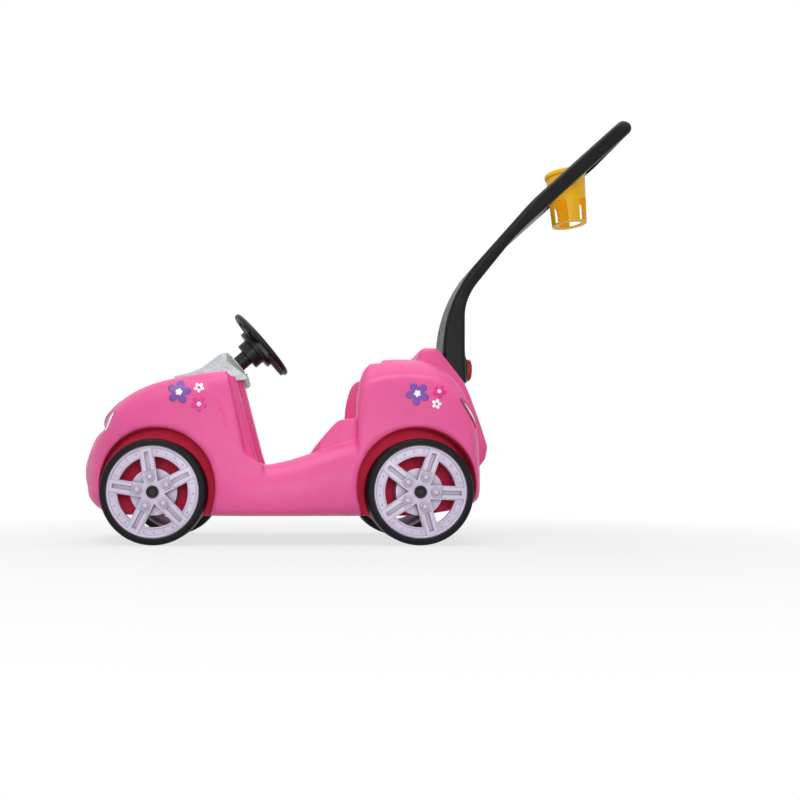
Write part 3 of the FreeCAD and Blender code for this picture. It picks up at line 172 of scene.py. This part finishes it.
def make_shell_material():
    """Pink polyethylene, with painted shade inside the wheel wells: a deeper, redder crimson that stands in
    for their shade and pink bounce light.
    """
    shader = Shader("pink_polyethylene")
    pink, well_shade_colour = srgb(232, 90, 154), srgb(255, 58, 96)
    drift = shader.spread(shader.noise(7.0), 0.0, 1.0)
    tone = shader.mix(drift, scaled(pink, 0.96), scaled(pink, 1.04))
    parts = shader.add("ShaderNodeSeparateXYZ")
    shader.join(shader.place, parts.inputs["Vector"])
    well_shade_region = None
    for well_x in WELL_X:
        along = shader.calculate("SUBTRACT", parts.outputs["X"], well_x)
        above = shader.calculate("SUBTRACT", parts.outputs["Z"], WELL_Z)
        along_square = shader.calculate("POWER", along, 2.0)
        above_square = shader.calculate("POWER", above, 2.0)
        square = shader.calculate("ADD", along_square, above_square)
        near = shader.calculate("LESS_THAN", square, WELL_RADIUS ** 2)
        well_shade_region = near if well_shade_region is None else shader.calculate("MAXIMUM", well_shade_region, near)
    sideways = shader.calculate("ABSOLUTE", parts.outputs["Y"], 0.0)
    outward = shader.calculate("GREATER_THAN", sideways, WELL_SHADE_Y)
    well_shade_region = shader.calculate("MULTIPLY", well_shade_region, outward)
    # Painted shade: the wells take a bright crimson that stands in for the shade and pink bounce light in
    # them
    tone = shader.mix(well_shade_region, tone, well_shade_colour)
    sheen = shader.spread(shader.noise(40.0), 0.36, 0.46)
    sheen = shader.calculate("MAXIMUM", sheen, shader.calculate("MULTIPLY", well_shade_region, WELL_ROUGHNESS))
    shader.bump(shader.noise(700.0, 2.0), 0.2, 0.0002)
    return shader.finish(tone, sheen, Specular_IOR_Level=0.3)


def make_speckled_material():
    """Silver plastic with fine dark and bright flecks."""
    shader = Shader("speckled_silver")
    fine = shader.noise(900.0, 1.0)
    dark = shader.spread(fine, 0.0, 1.0, 0.58, 0.64)
    bright = shader.spread(shader.noise(1300.0, 1.0), 0.0, 1.0, 0.6, 0.66)
    tone = shader.mix(dark, srgb(178, 188, 188), srgb(104, 112, 114))
    tone = shader.mix(bright, tone, srgb(226, 234, 234))
    sheen = shader.spread(shader.noise(50.0), 0.36, 0.5)
    shader.bump(fine, 0.15, 0.0002)
    return shader.finish(tone, sheen, Metallic=0.25)


def make_steel_material():
    shader = Shader("plated_steel")
    drift = shader.spread(shader.noise(80.0), 0.0, 1.0)
    tone = shader.mix(drift, srgb(168, 172, 178), srgb(196, 200, 206))
    return shader.finish(tone, shader.spread(shader.noise(200.0), 0.25, 0.4), Metallic=1.0)


MATERIALS = {
    "shell": make_shell_material(),
    "dash": make_speckled_material(),
    "steel": make_steel_material(),
    "black": moulded("black_plastic", srgb(20, 19, 21), 0.40, 900.0, 0.0002, Specular_IOR_Level=0.25),
    "handle": moulded("handle_plastic", srgb(14, 14, 16), 0.38, 700.0, 0.0003, Specular_IOR_Level=0.18),
    # The rim's colour carries painted shade in its recesses
    "rim": moulded("lavender_silver", srgb(194, 184, 205), 0.36, 900.0, 0.0001, painted_recess_shade=0.60, Metallic=0.2),
    "tyre": moulded("tyre_black", srgb(15, 15, 19), 0.48, 600.0, 0.0003, Specular_IOR_Level=0.15),
    "nylon": moulded("white_nylon", srgb(226, 224, 218), 0.45, 800.0, 0.0001),
    "red": moulded("button_red", srgb(166, 38, 34), 0.35, 900.0, 0.0001, Specular_IOR_Level=0.35),
    "yellow": moulded("cup_yellow", srgb(255, 196, 16), 0.38, 800.0, 0.0002, Specular_IOR_Level=0.35),
}
DECALS = {
    "purple": moulded("decal_purple", srgb(120, 72, 168), 0.35, 500.0, 0.0001),
    "white": moulded("decal_white", srgb(250, 246, 250), 0.35, 500.0, 0.0001, 0.02),
    "magenta": moulded("decal_magenta", srgb(236, 34, 142), 0.35, 500.0, 0.0001),
    "plum": moulded("decal_plum", srgb(96, 34, 92), 0.35, 500.0, 0.0001),
    "lamp_red": moulded("decal_lamp_red", srgb(196, 34, 62), 0.3, 500.0, 0.0001),
    "grey": moulded("decal_grey", srgb(128, 134, 136), 0.35, 500.0, 0.0001),
}


def dress_nodes():
    """Every CAD node takes the material of its slot."""
    for row in frame["record"]["subparts"]:
        node = NODES[row["node"]]
        node.data.materials.clear()
        node.data.materials.append(MATERIALS[row["material_slot"]])


# Pieces
def add_piece(name, mesh, material, body):
    """Puts a new mesh in the scene, smooth, on the body it rides on."""
    piece = bpy.data.objects.new(name, mesh)
    bpy.context.scene.collection.objects.link(piece)
    mesh.polygons.foreach_set("use_smooth", [True] * len(mesh.polygons))
    mesh.materials.clear()
    mesh.materials.append(material)
    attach(piece, body)
    return piece


def freeze(piece):
    """Replaces a piece's mesh by what its modifiers make of it."""
    bpy.context.view_layer.update()
    graph = bpy.context.evaluated_depsgraph_get()
    mesh = bpy.data.meshes.new_from_object(piece.evaluated_get(graph))
    piece.modifiers.clear()
    piece.data = mesh


# Soft body
def read_points(mesh):
    """A mesh's vertices and their normals, one row each."""
    points = np.zeros(len(mesh.vertices) * 3, np.float32)
    normals = np.zeros(len(mesh.vertices) * 3, np.float32)
    mesh.vertices.foreach_get("co", points)
    mesh.vertex_normals.foreach_get("vector", normals)
    return points.reshape(-1, 3), normals.reshape(-1, 3)


def write_points(mesh, points):
    mesh.vertices.foreach_set("co", points.ravel())
    mesh.update()


# Each fender's crease, as the place and half the length of its arch, and the arch's foot and rise
CREASES = ((-0.420, 0.145), (0.100, 0.136))
CREASE_LOW = 0.190
CREASE_RISE = 0.158
CREASE_POWER = 2.6
CREASE_DEPTH = 0.004
CREASE_RUN = 0.009
# Where the creases fade in: by how far a face looks sideways, by its distance out and by its height
CREASE_FACING = (0.35, 0.75)
CREASE_OUTER_Y = (0.172, 0.184)
CREASE_SILL_Z = (0.215, 0.265)
FADE_IN = (0.0, 1.0)
FADE_OUT = (1.0, 0.0)


def press_creases(mesh):
    """Sets the sides in a little outside each fender's crease line, so that the fenders stand proud."""
    points, normals = read_points(mesh)
    outside = np.full(len(points), np.inf)
    for centre, half_length in CREASES:
        along = np.abs(points[:, 0] - centre) / half_length
        up = np.maximum(points[:, 2] - CREASE_LOW, 0.0) / CREASE_RISE
        reach = (along ** CREASE_POWER + up ** CREASE_POWER) ** (1.0 / CREASE_POWER)
        outside = np.minimum(outside, (reach - 1.0) * CREASE_RISE)
    step = np.clip(outside / CREASE_RUN, 0.0, 1.0)
    step = step * step * (3.0 - 2.0 * step)
    sideways = np.interp(np.abs(normals[:, 1]), CREASE_FACING, FADE_IN)
    outer = np.interp(np.abs(points[:, 1]), CREASE_OUTER_Y, FADE_IN)
    above_sill = np.interp(points[:, 2], CREASE_SILL_Z, FADE_IN)
    facing_out = (normals[:, 1] * points[:, 1]) > 0.0
    depth = CREASE_DEPTH * step * sideways * outer * above_sill * facing_out
    points[:, 1] -= np.sign(points[:, 1]) * depth
    write_points(mesh, points)


# The nose is set back a little below the headlights, most of all in the hollow above the bumper
NOSE_BAND_Z = (0.098, 0.122, 0.250, 0.275)
NOSE_BAND_SHARE = (0.0, 1.0, 1.0, 0.0)
NOSE_SET_BACK = 0.006
BUMPER_HOLLOW_Z = 0.247
BUMPER_HOLLOW_HEIGHT = 0.012
BUMPER_HOLLOW_DEPTH = 0.008
NOSE_FACING = (0.2, 0.6)
NOSE_SIDE_Y = (0.125, 0.185)


def press_nose(mesh):
    """Sets the nose back above the bumper, where the photograph's outline is hollow."""
    points, normals = read_points(mesh)
    height = points[:, 2]
    band = np.interp(height, NOSE_BAND_Z, NOSE_BAND_SHARE)
    hollow = np.exp(-((height - BUMPER_HOLLOW_Z) / BUMPER_HOLLOW_HEIGHT) ** 2)
    forward = np.interp(-normals[:, 0], NOSE_FACING, FADE_IN)
    middle = np.interp(np.abs(points[:, 1]), NOSE_SIDE_Y, FADE_OUT)
    ahead = points[:, 0] < AXLE_X["front"]
    points[:, 0] += (NOSE_SET_BACK * band + BUMPER_HOLLOW_DEPTH * hollow) * forward * middle * ahead
    write_points(mesh, points)


# The latch's stem slides this far into its hole in the body, with this much room round it
LATCH_TRAVEL = 0.008
LATCH_ROOM = 0.004


def clear_latch_hole(mesh):
    """Keeps the hole that the latch's stem slides into as wide and deep as the stem needs."""
    stem, _ = read_points(NODES["latch_pin"].data)
    low, high = stem.min(axis=0), stem.max(axis=0)
    middle, radius = (low + high) / 2.0, (high[1] - low[1]) / 2.0
    hole_end = low[0] - LATCH_TRAVEL - LATCH_ROOM
    points, _ = read_points(mesh)
    off_axis = np.hypot(points[:, 1] - middle[1], points[:, 2] - middle[2])
    in_hole = (off_axis < radius + LATCH_ROOM) & (points[:, 0] > hole_end) & (points[:, 0] < high[0])
    points[in_hole, 0] = hole_end
    write_points(mesh, points)


# How finely the body is remeshed, and how far it and the lips of its wheel arches are smoothed
VOXEL = 0.0035
WELD_REACH = 1.0e-5
SMOOTH_FACTOR = 0.5
SOFTEN_STEPS = 8
ARCH_LIP_STEPS = 30
ARCH_LIP_REACH = 0.012
ARCH_LIP_GAIN = 1.5


def smooth_arch_lips(body):
    """Rolls the thin edges of the wheel arches over, as a moulding's edges are."""
    lips = body.vertex_groups.new(name="lips")
    for vertex in body.data.vertices:
        for well_x in WELL_X:
            reach = math.hypot(vertex.co.x - well_x, vertex.co.z - WELL_Z)
            share = 1.0 - abs(reach - WELL_RADIUS) / ARCH_LIP_REACH
            if share > 0.0 and abs(vertex.co.y) > WELL_WALL_Y + ARCH_LIP_REACH:
                lips.add([vertex.index], min(1.0, ARCH_LIP_GAIN * share), "REPLACE")
    roll = body.modifiers.new("roll", "SMOOTH")
    roll.factor = SMOOTH_FACTOR
    roll.iterations = ARCH_LIP_STEPS
    roll.vertex_group = lips.name
    freeze(body)


def make_soft_body():
    """The body shell with the soft edges of a rotational moulding."""
    mesh = NODES["body_shell"].data.copy()
    mesh.name = "soft_body"
    skin = bmesh.new()
    skin.from_mesh(mesh)
    bmesh.ops.remove_doubles(skin, verts=skin.verts, dist=WELD_REACH)
    skin.to_mesh(mesh)
    skin.free()
    body = add_piece("soft_body", mesh, MATERIALS["shell"], "car")
    remesh = body.modifiers.new("voxels", "REMESH")
    remesh.mode = "VOXEL"
    remesh.voxel_size = VOXEL
    remesh.use_smooth_shade = True
    smooth = body.modifiers.new("soften", "SMOOTH")
    smooth.factor = SMOOTH_FACTOR
    smooth.iterations = SOFTEN_STEPS
    freeze(body)
    smooth_arch_lips(body)
    press_creases(body.data)
    press_nose(body.data)
    clear_latch_hole(body.data)
    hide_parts("body_shell")
    return body


def surface_of(piece):
    """A tree of a piece's faces, to cast rays at."""
    mesh = piece.data
    corners = [vertex.co.copy() for vertex in mesh.vertices]
    return BVHTree.FromPolygons(corners, [list(face.vertices) for face in mesh.polygons])


def photo_point(surface, px, py):
    """Where the photograph's line of sight through a pixel meets a surface."""
    sight = Vector(((px - CENTRE_PX[0]) / FOCAL_PX, 1.0, (CENTRE_PX[1] - py) / FOCAL_PX))
    return surface.ray_cast(CAMERA_AT, sight.normalized())[0]


# Decals
PETALS = 5
PETAL_BLUNTNESS = 0.55
PETAL_ROOT = 0.30
MIDDLE_SHARE = 0.30
MIDDLE_ROOT = 0.55
FLOWER_POINTS = 120
OVAL_POINTS = 60


def flower_outline(radius, turn, root=PETAL_ROOT):
    """Five blunt petals about a middle, with one petal at the angle of turn."""
    points = []
    for i in range(FLOWER_POINTS):
        angle = 2.0 * math.pi * i / FLOWER_POINTS
        petal = abs(math.cos(PETALS / 2.0 * (angle - turn))) ** PETAL_BLUNTNESS
        reach = radius * (root + (1.0 - root) * petal)
        points.append((reach * math.cos(angle), reach * math.sin(angle)))
    return points


def oval_outline(half_width, half_height, lean, power):
    """An oval or a rounder box that leans from upright."""
    points = []
    for i in range(OVAL_POINTS):
        angle = 2.0 * math.pi * i / OVAL_POINTS
        across = half_width * math.copysign(abs(math.cos(angle)) ** (2.0 / power), math.cos(angle))
        up = half_height * math.copysign(abs(math.sin(angle)) ** (2.0 / power), math.sin(angle))
        points.append((across * math.cos(lean) + up * math.sin(lean),
                       up * math.cos(lean) - across * math.sin(lean)))
    return points


DECAL_RINGS = 6
DECAL_THICKNESS = 0.0004
# How far off a sticker starts before it is pressed on, and how high each layer of stickers lies
PRESS_FROM = 0.2
FIRST_LAYER, SECOND_LAYER, THIRD_LAYER = 0.0005, 0.0009, 0.0013


def make_decal(name, surface, outline, centre, facing, material, lift, both_sides=True):
    """A thin sticker pressed onto a surface, and its mirror image on the other side of the car."""
    facing = Vector(facing).normalized()
    right = Vector((0.0, 0.0, 1.0)).cross(facing).normalized()
    up = facing.cross(right)
    count = len(outline)
    top = []
    for ring in range(DECAL_RINGS + 1):
        share = ring / DECAL_RINGS
        for across, rise in (outline if ring else [(0.0, 0.0)]):
            start = centre + right * across * share + up * rise * share + facing * PRESS_FROM
            hit, normal, _, _ = surface.ray_cast(start, -facing)
            top.append(hit + normal * lift)
    faces = []
    for i in range(count):
        j = (i + 1) % count
        faces.append((0, 1 + i, 1 + j))
        for ring in range(1, DECAL_RINGS):
            inner, outer = 1 + (ring - 1) * count, 1 + ring * count
            faces.append((inner + i, outer + i, outer + j, inner + j))
    corners = list(top)
    if both_sides:
        corners += [Vector((p.x, -p.y, p.z)) for p in top]
        faces += [tuple(len(top) + i for i in reversed(face)) for face in faces]
    mesh = bpy.data.meshes.new(name)
    mesh.from_pydata(corners, [], faces)
    decal = add_piece(name, mesh, material, "car")
    skin = decal.modifiers.new("skin", "SOLIDIFY")
    skin.thickness = DECAL_THICKNESS
    skin.offset = 0.0
    freeze(decal)
    return decal


LEFT = (0.0, -1.0, 0.0)
AHEAD = (-1.0, 0.0, 0.0)
METRES_PER_PX = 0.00206
# Each flower's place and radius in the photograph's pixels, its turn in degrees, and its colours
FLOWERS = (
    ("flower_front_big", (179.0, 392.0), 12.4, 8.0, "purple", "white"),
    ("flower_front_small", (199.0, 387.5), 5.4, 54.0, "white", "magenta"),
    ("flower_front_low", (199.0, 404.0), 8.0, 54.0, "magenta", "white"),
    ("flower_rear_big", (417.4, 393.6), 12.1, 45.0, "purple", "white"),
    ("flower_rear_top", (439.3, 391.4), 7.2, 60.0, "magenta", "white"),
    ("flower_rear_low", (436.6, 404.0), 5.2, 2.0, "white", "magenta"),
)


def make_flowers(surface):
    for name, (px, py), radius_px, degrees, petals, middle in FLOWERS:
        centre = photo_point(surface, px, py)
        radius = radius_px * METRES_PER_PX
        turn = math.radians(degrees)
        large = flower_outline(radius, turn)
        make_decal(name, surface, large, centre, LEFT, DECALS[petals], FIRST_LAYER)
        small = flower_outline(radius * MIDDLE_SHARE, turn, MIDDLE_ROOT)
        make_decal(name + "_middle", surface, small, centre, LEFT, DECALS[middle], SECOND_LAYER)


# The lamps: their places in the photograph's pixels, and their layers as names, half sizes, colours, heights
HEADLIGHT_PX = (109.2, 422.3)
HEADLIGHT_LEAN = math.radians(14.0)
HEADLIGHT_FACING = (-0.80, -0.60, 0.0)
HEADLIGHT_POWER = 2.4
HEADLIGHT_LAYERS = (
    ("headlight_edge", 0.0074, 0.0222, "grey", FIRST_LAYER),
    ("headlight", 0.0056, 0.0202, "white", SECOND_LAYER),
)
TAIL_LIGHT_PX = (470.3, 413.0)
TAIL_LIGHT_LEAN = math.radians(-34.0)
TAIL_LIGHT_FACING = (0.55, -0.83, 0.1)
TAIL_LIGHT_POWER = 2.2
TAIL_LIGHT_LAYERS = (
    ("tail_light_edge", 0.0088, 0.0380, "plum", FIRST_LAYER),
    ("tail_light", 0.0064, 0.0345, "lamp_red", SECOND_LAYER),
    ("tail_light_flash", 0.0024, 0.0230, "white", THIRD_LAYER),
)
NOSE_PANEL_Z = 0.283
NOSE_PANEL_HALF_WIDTH = 0.140
NOSE_PANEL_HALF_HEIGHT = 0.031
NOSE_PANEL_POWER = 3.0


def make_headlights(surface):
    centre = photo_point(surface, *HEADLIGHT_PX)
    for name, width, height, colour, lift in HEADLIGHT_LAYERS:
        outline = oval_outline(width, height, HEADLIGHT_LEAN, HEADLIGHT_POWER)
        make_decal(name, surface, outline, centre, HEADLIGHT_FACING, DECALS[colour], lift)


def make_nose_panel(surface):
    """The purple panel across the nose, of which the photograph shows only the end."""
    in_front = Vector((-1.0, 0.0, NOSE_PANEL_Z))
    centre = surface.ray_cast(in_front, -Vector(AHEAD))[0]
    outline = oval_outline(NOSE_PANEL_HALF_WIDTH, NOSE_PANEL_HALF_HEIGHT, 0.0, NOSE_PANEL_POWER)
    make_decal("nose_panel", surface, outline, centre, AHEAD, DECALS["purple"], FIRST_LAYER, False)


def make_tail_lights(surface):
    centre = photo_point(surface, *TAIL_LIGHT_PX)
    for name, width, height, colour, lift in TAIL_LIGHT_LAYERS:
        outline = oval_outline(width, height, TAIL_LIGHT_LEAN, TAIL_LIGHT_POWER)
        make_decal(name, surface, outline, centre, TAIL_LIGHT_FACING, DECALS[colour], lift)


# Wheels: five spokes with a bolt on each, and a stepped ring with studs between the spokes
SPOKES = 5
SPOKE_STEP = 2.0 * math.pi / SPOKES
STUD_CIRCLE = 0.0835
STUD_RADIUS = 0.0022
STUD_FLATNESS = 0.6
STUD_DEGREES = (-21.0, -7.0, 7.0, 21.0)
LUG_CIRCLE = 0.032
# How the spokes are found: places tried round one spoke's share, and how flat the top of a lug is
SEARCH_STEPS = 144
LUG_FLATNESS = 0.001
BESIDE_Y = 0.4
# The raised plate on each spoke, as its reach along the spoke, half its width, and its groove
PLATE_IN, PLATE_OUT, PLATE_HALF = 0.0440, 0.0915, 0.0125
GROOVE_OUT, GROOVE_HALF = 0.0836, 0.0042
PLATE_HEIGHT, PLATE_SINK, PLATE_BEVEL = 0.0020, 0.0005, 0.0009
# The hoops on the ring: the lip at its outer edge and the step at its inner edge
RIM_LIP_IN, RIM_LIP_OUT, RIM_LIP_HEIGHT = 0.0900, 0.0962, 0.0022
STEP_IN, STEP_OUT, STEP_HEIGHT = 0.0732, 0.0768, 0.0013
# A bolt's outline from foot to middle, in mm of radius and height: a collar, a groove and a domed head
BOLT_PROFILE = (
    (9.2, -1.0), (9.2, 0.9), (8.6, 1.5), (7.2, 1.5), (6.6, 0.6),
    (5.9, 0.6), (5.6, 2.4), (4.6, 3.2), (2.4, 3.5), (0.0, 3.6),
)
BOLT_SIDES = 24
MM = 0.001
# A hoop's section, as shares of its width and height
HOOP_PROFILE = ((0.0, -0.3), (0.06, 0.6), (0.25, 1.0), (0.75, 1.0), (0.94, 0.6), (1.0, -0.3))
HOOP_STEP = math.radians(3.0)
HOOP_LEAST_STEPS = 12
SHARP_ANGLE = math.radians(40.0)
JOIN_REACH = 1.0e-6


class WheelFace:
    """The outer face of one rim, on which details are placed by angle, radius and height."""

    def __init__(self, corner):
        end, side = corner.split("_")
        self.axle_x = AXLE_X[end]
        self.side = -1.0 if side == "left" else 1.0
        self.rim = surface_of(NODES["rim_" + corner])
        self.shapes = bmesh.new()
        self.first = self.find_spoke()
        self.face_y = self.hit(STUD_CIRCLE, self.first + SPOKE_STEP / 2.0).y

    def hit(self, radius, angle):
        """The point of the rim that is seen from outside at a radius and an angle."""
        x, z = self.axle_x + radius * math.cos(angle), AXLE_Z + radius * math.sin(angle)
        beside = Vector((x, self.side * BESIDE_Y, z))
        return self.rim.ray_cast(beside, Vector((0.0, -self.side, 0.0)))[0]

    def find_spoke(self):
        """The angle of a spoke: the middle of the arc where the lugs stand highest."""
        angles = [SPOKE_STEP * i / SEARCH_STEPS for i in range(SEARCH_STEPS)]
        heights = [abs(self.hit(LUG_CIRCLE, angle).y) for angle in angles]
        top = max(heights) - LUG_FLATNESS
        around = [SPOKES * angle for angle, height in zip(angles, heights) if height > top]
        return math.atan2(sum(map(math.sin, around)), sum(map(math.cos, around))) / SPOKES

    def point(self, angle, along, across, height):
        """A new vertex: along and across a line from the axle at an angle, and above the rim's face."""
        x = self.axle_x + math.cos(angle) * along - math.sin(angle) * across
        z = AXLE_Z + math.sin(angle) * along + math.cos(angle) * across
        return self.shapes.verts.new((x, self.face_y + self.side * height, z))

    def add_spoke_plate(self, angle):
        """The raised plate on a spoke, which runs on over the ring, with a groove along its middle."""
        alongs = (PLATE_IN, GROOVE_OUT, PLATE_OUT)
        acrosses = (-PLATE_HALF, -GROOVE_HALF, GROOVE_HALF, PLATE_HALF)
        rows = [[self.point(angle, along, across, PLATE_HEIGHT) for across in acrosses] for along in alongs]
        cells = [(0, 0), (0, 2), (1, 0), (1, 1), (1, 2)]
        tops = []
        for i, j in cells:
            corners = (rows[i][j], rows[i + 1][j], rows[i + 1][j + 1], rows[i][j + 1])
            tops.append(self.shapes.faces.new(corners))
        rims = [edge for face in tops for edge in face.edges if len(edge.link_faces) == 1]
        made = bmesh.ops.extrude_edge_only(self.shapes, edges=rims)["geom"]
        feet = [item for item in made if isinstance(item, bmesh.types.BMVert)]
        sink = Vector((0.0, -self.side * (PLATE_HEIGHT + PLATE_SINK), 0.0))
        bmesh.ops.translate(self.shapes, vec=sink, verts=feet)
        bmesh.ops.bevel(self.shapes, geom=rims, offset=PLATE_BEVEL, segments=2, affect="EDGES")

    def add_hoop(self, start, end, inner, outer, height):
        """A round-backed hoop, or an arc of one, on the rim's ring."""
        steps = max(HOOP_LEAST_STEPS, int(abs(end - start) / HOOP_STEP))
        rings = []
        for i in range(steps + 1):
            angle = start + (end - start) * i / steps
            ring = []
            for across, share in HOOP_PROFILE:
                ring.append(self.point(angle, inner + (outer - inner) * across, 0.0, height * share))
            rings.append(ring)
        for here, there in zip(rings, rings[1:]):
            for i in range(len(here) - 1):
                self.shapes.faces.new((here[i], here[i + 1], there[i + 1], there[i]))

    def add_bolt(self, angle):
        """Turns the bolt's outline about a line that points out of the car's side."""
        top = abs(self.hit(LUG_CIRCLE, angle).y) - abs(self.face_y)
        rings = []
        for radius, height in BOLT_PROFILE:
            ring = []
            for i in range(BOLT_SIDES):
                around = 2.0 * math.pi * i / BOLT_SIDES
                along = LUG_CIRCLE + MM * radius * math.cos(around)
                across = MM * radius * math.sin(around)
                ring.append(self.point(angle, along, across, top + MM * height))
            rings.append(ring)
        for inner, outer in zip(rings, rings[1:]):
            for i in range(BOLT_SIDES):
                j = (i + 1) % BOLT_SIDES
                self.shapes.faces.new((inner[i], inner[j], outer[j], outer[i]))

    def add_stud(self, angle):
        made = bmesh.ops.create_uvsphere(self.shapes, u_segments=12, v_segments=6, radius=STUD_RADIUS)
        bmesh.ops.scale(self.shapes, vec=(1.0, STUD_FLATNESS, 1.0), verts=made["verts"])
        bmesh.ops.translate(self.shapes, vec=self.hit(STUD_CIRCLE, angle), verts=made["verts"])


def make_wheel_details(corner):
    """The bolts, spoke plates, ring steps and studs of one wheel."""
    wheel = WheelFace(corner)
    for spoke in range(SPOKES):
        angle = wheel.first + spoke * SPOKE_STEP
        wheel.add_spoke_plate(angle)
        wheel.add_bolt(angle)
        gap = angle + SPOKE_STEP / 2.0
        half_gap = SPOKE_STEP / 2.0 - math.asin(PLATE_HALF / STEP_IN)
        wheel.add_hoop(gap - half_gap, gap + half_gap, STEP_IN, STEP_OUT, STEP_HEIGHT)
        for degrees in STUD_DEGREES:
            wheel.add_stud(gap + math.radians(degrees))
    wheel.add_hoop(0.0, 2.0 * math.pi, RIM_LIP_IN, RIM_LIP_OUT, RIM_LIP_HEIGHT)
    bmesh.ops.remove_doubles(wheel.shapes, verts=wheel.shapes.verts, dist=JOIN_REACH)
    bmesh.ops.recalc_face_normals(wheel.shapes, faces=wheel.shapes.faces)
    mesh = bpy.data.meshes.new("rim_details_" + corner)
    wheel.shapes.to_mesh(mesh)
    wheel.shapes.free()
    piece = add_piece("rim_details_" + corner, mesh, MATERIALS["rim"], "wheel_" + corner)
    sharp = piece.modifiers.new("sharp", "EDGE_SPLIT")
    sharp.split_angle = SHARP_ANGLE


# Stage, light and camera
# The floor: its size, how far it lies below the tyres, and its share of white near the car and far off
FLOOR_RADIUS = 12.0
FLOOR_DROP = 0.0005
FLOOR_NEAR_WHITE, FLOOR_FAR_WHITE = 0.72, 1.0
FLOOR_NEAR, FLOOR_FAR = 0.55, 1.5
WORLD_LIGHT = 0.36
WHITE = (1.0, 1.0, 1.0, 1.0)
# Each lamp's place, what it points at, its width in metres and its power in watts
LAMPS = (
    ("key", (-0.8, -1.5, 3.0), (0.0, 0.0, 0.3), 2.2, 38.0),
    ("top", (0.2, 0.3, 3.0), (0.0, 0.0, 0.3), 2.6, 32.0),
    ("fill", (-0.1, -3.4, 0.4), (0.0, 0.0, 0.2), 1.6, 34.0),
)
CAMERA_REACH = 50.0


def backdrop_share(tree):
    """One for what the camera sees, straight or by gloss or glass, and nought for light on the object."""
    path = tree.nodes.new("ShaderNodeLightPath")
    share = path.outputs["Is Camera Ray"]
    for name in ("Is Glossy Ray", "Is Transmission Ray"):
        most = tree.nodes.new("ShaderNodeMath")
        most.operation = "MAXIMUM"
        tree.links.new(share, most.inputs[0])
        tree.links.new(path.outputs[name], most.inputs[1])
        share = most.outputs["Value"]
    return share


def make_floor():
    """A plain pale floor that keeps the shadow near the car and fades to white far from it."""
    below = (0.0, 0.0, -FLOOR_DROP)
    bpy.ops.mesh.primitive_circle_add(vertices=96, radius=FLOOR_RADIUS, fill_type="NGON", location=below)
    floor = bpy.context.object
    floor.name = "studio_floor"
    shader = Shader("pale_floor")
    tone = shader.mix(shader.spread(shader.noise(2.0), 0.0, 1.0), srgb(206, 206, 207), srgb(210, 210, 210))
    shader.finish(tone, shader.spread(shader.noise(5.0), 0.85, 0.95))
    away = shader.add("ShaderNodeVectorMath", operation="LENGTH")
    shader.join(shader.place, away.inputs[0])
    whites = (FLOOR_NEAR_WHITE, FLOOR_FAR_WHITE)
    far = shader.spread(away.outputs["Value"], *whites, FLOOR_NEAR, FLOOR_FAR)
    share = shader.calculate("MULTIPLY", far, backdrop_share(shader.tree))
    white = shader.add("ShaderNodeEmission")
    white.inputs["Strength"].default_value = 1.0
    blend = shader.add("ShaderNodeMixShader")
    shader.join(share, blend.inputs["Fac"])
    shader.join(shader.surface.outputs["BSDF"], blend.inputs[1])
    shader.join(white.outputs["Emission"], blend.inputs[2])
    shader.join(blend.outputs["Shader"], shader.tree.nodes["Material Output"].inputs["Surface"])
    floor.data.materials.append(shader.material)


def make_world():
    world = bpy.data.worlds.new("studio")
    bpy.context.scene.world = world
    world.use_nodes = True
    tree = world.node_tree
    light = tree.nodes["Background"]
    light.inputs["Color"].default_value = WHITE
    light.inputs["Strength"].default_value = WORLD_LIGHT
    seen = tree.nodes.new("ShaderNodeBackground")
    seen.inputs["Color"].default_value = WHITE
    seen.inputs["Strength"].default_value = 1.0
    join = tree.nodes.new("ShaderNodeMixShader")
    tree.links.new(backdrop_share(tree), join.inputs["Fac"])
    tree.links.new(light.outputs[0], join.inputs[1])
    tree.links.new(seen.outputs[0], join.inputs[2])
    tree.links.new(join.outputs[0], tree.nodes["World Output"].inputs["Surface"])


def make_lamp(name, place, target, size, watts):
    data = bpy.data.lights.new(name, "AREA")
    data.shape = "DISK"
    data.size = size
    data.energy = watts
    lamp = bpy.data.objects.new(name, data)
    lamp.location = place
    lamp.rotation_euler = (Vector(target) - Vector(place)).to_track_quat("-Z", "Y").to_euler()
    bpy.context.scene.collection.objects.link(lamp)


def make_camera():
    data = bpy.data.cameras.new("photo_camera")
    data.sensor_width = SENSOR_MM
    data.lens = FOCAL_PX / FRAME_PX * SENSOR_MM
    data.shift_x = 0.5 - CENTRE_PX[0] / FRAME_PX
    data.shift_y = CENTRE_PX[1] / FRAME_PX - 0.5
    data.clip_end = CAMERA_REACH
    camera = bpy.data.objects.new("photo_camera", data)
    camera.location = CAMERA_AT
    camera.rotation_euler = (math.radians(90.0), 0.0, 0.0)
    bpy.context.scene.collection.objects.link(camera)
    bpy.context.scene.camera = camera


dress_nodes()
body_surface = surface_of(make_soft_body())
make_flowers(body_surface)
make_headlights(body_surface)
make_nose_panel(body_surface)
make_tail_lights(body_surface)
for wheel_corner in ("front_left", "front_right", "rear_left", "rear_right"):
    make_wheel_details(wheel_corner)
make_floor()
make_world()
for lamp_row in LAMPS:
    make_lamp(*lamp_row)
make_camera()
bpy.context.scene.view_settings.view_transform = "Standard"
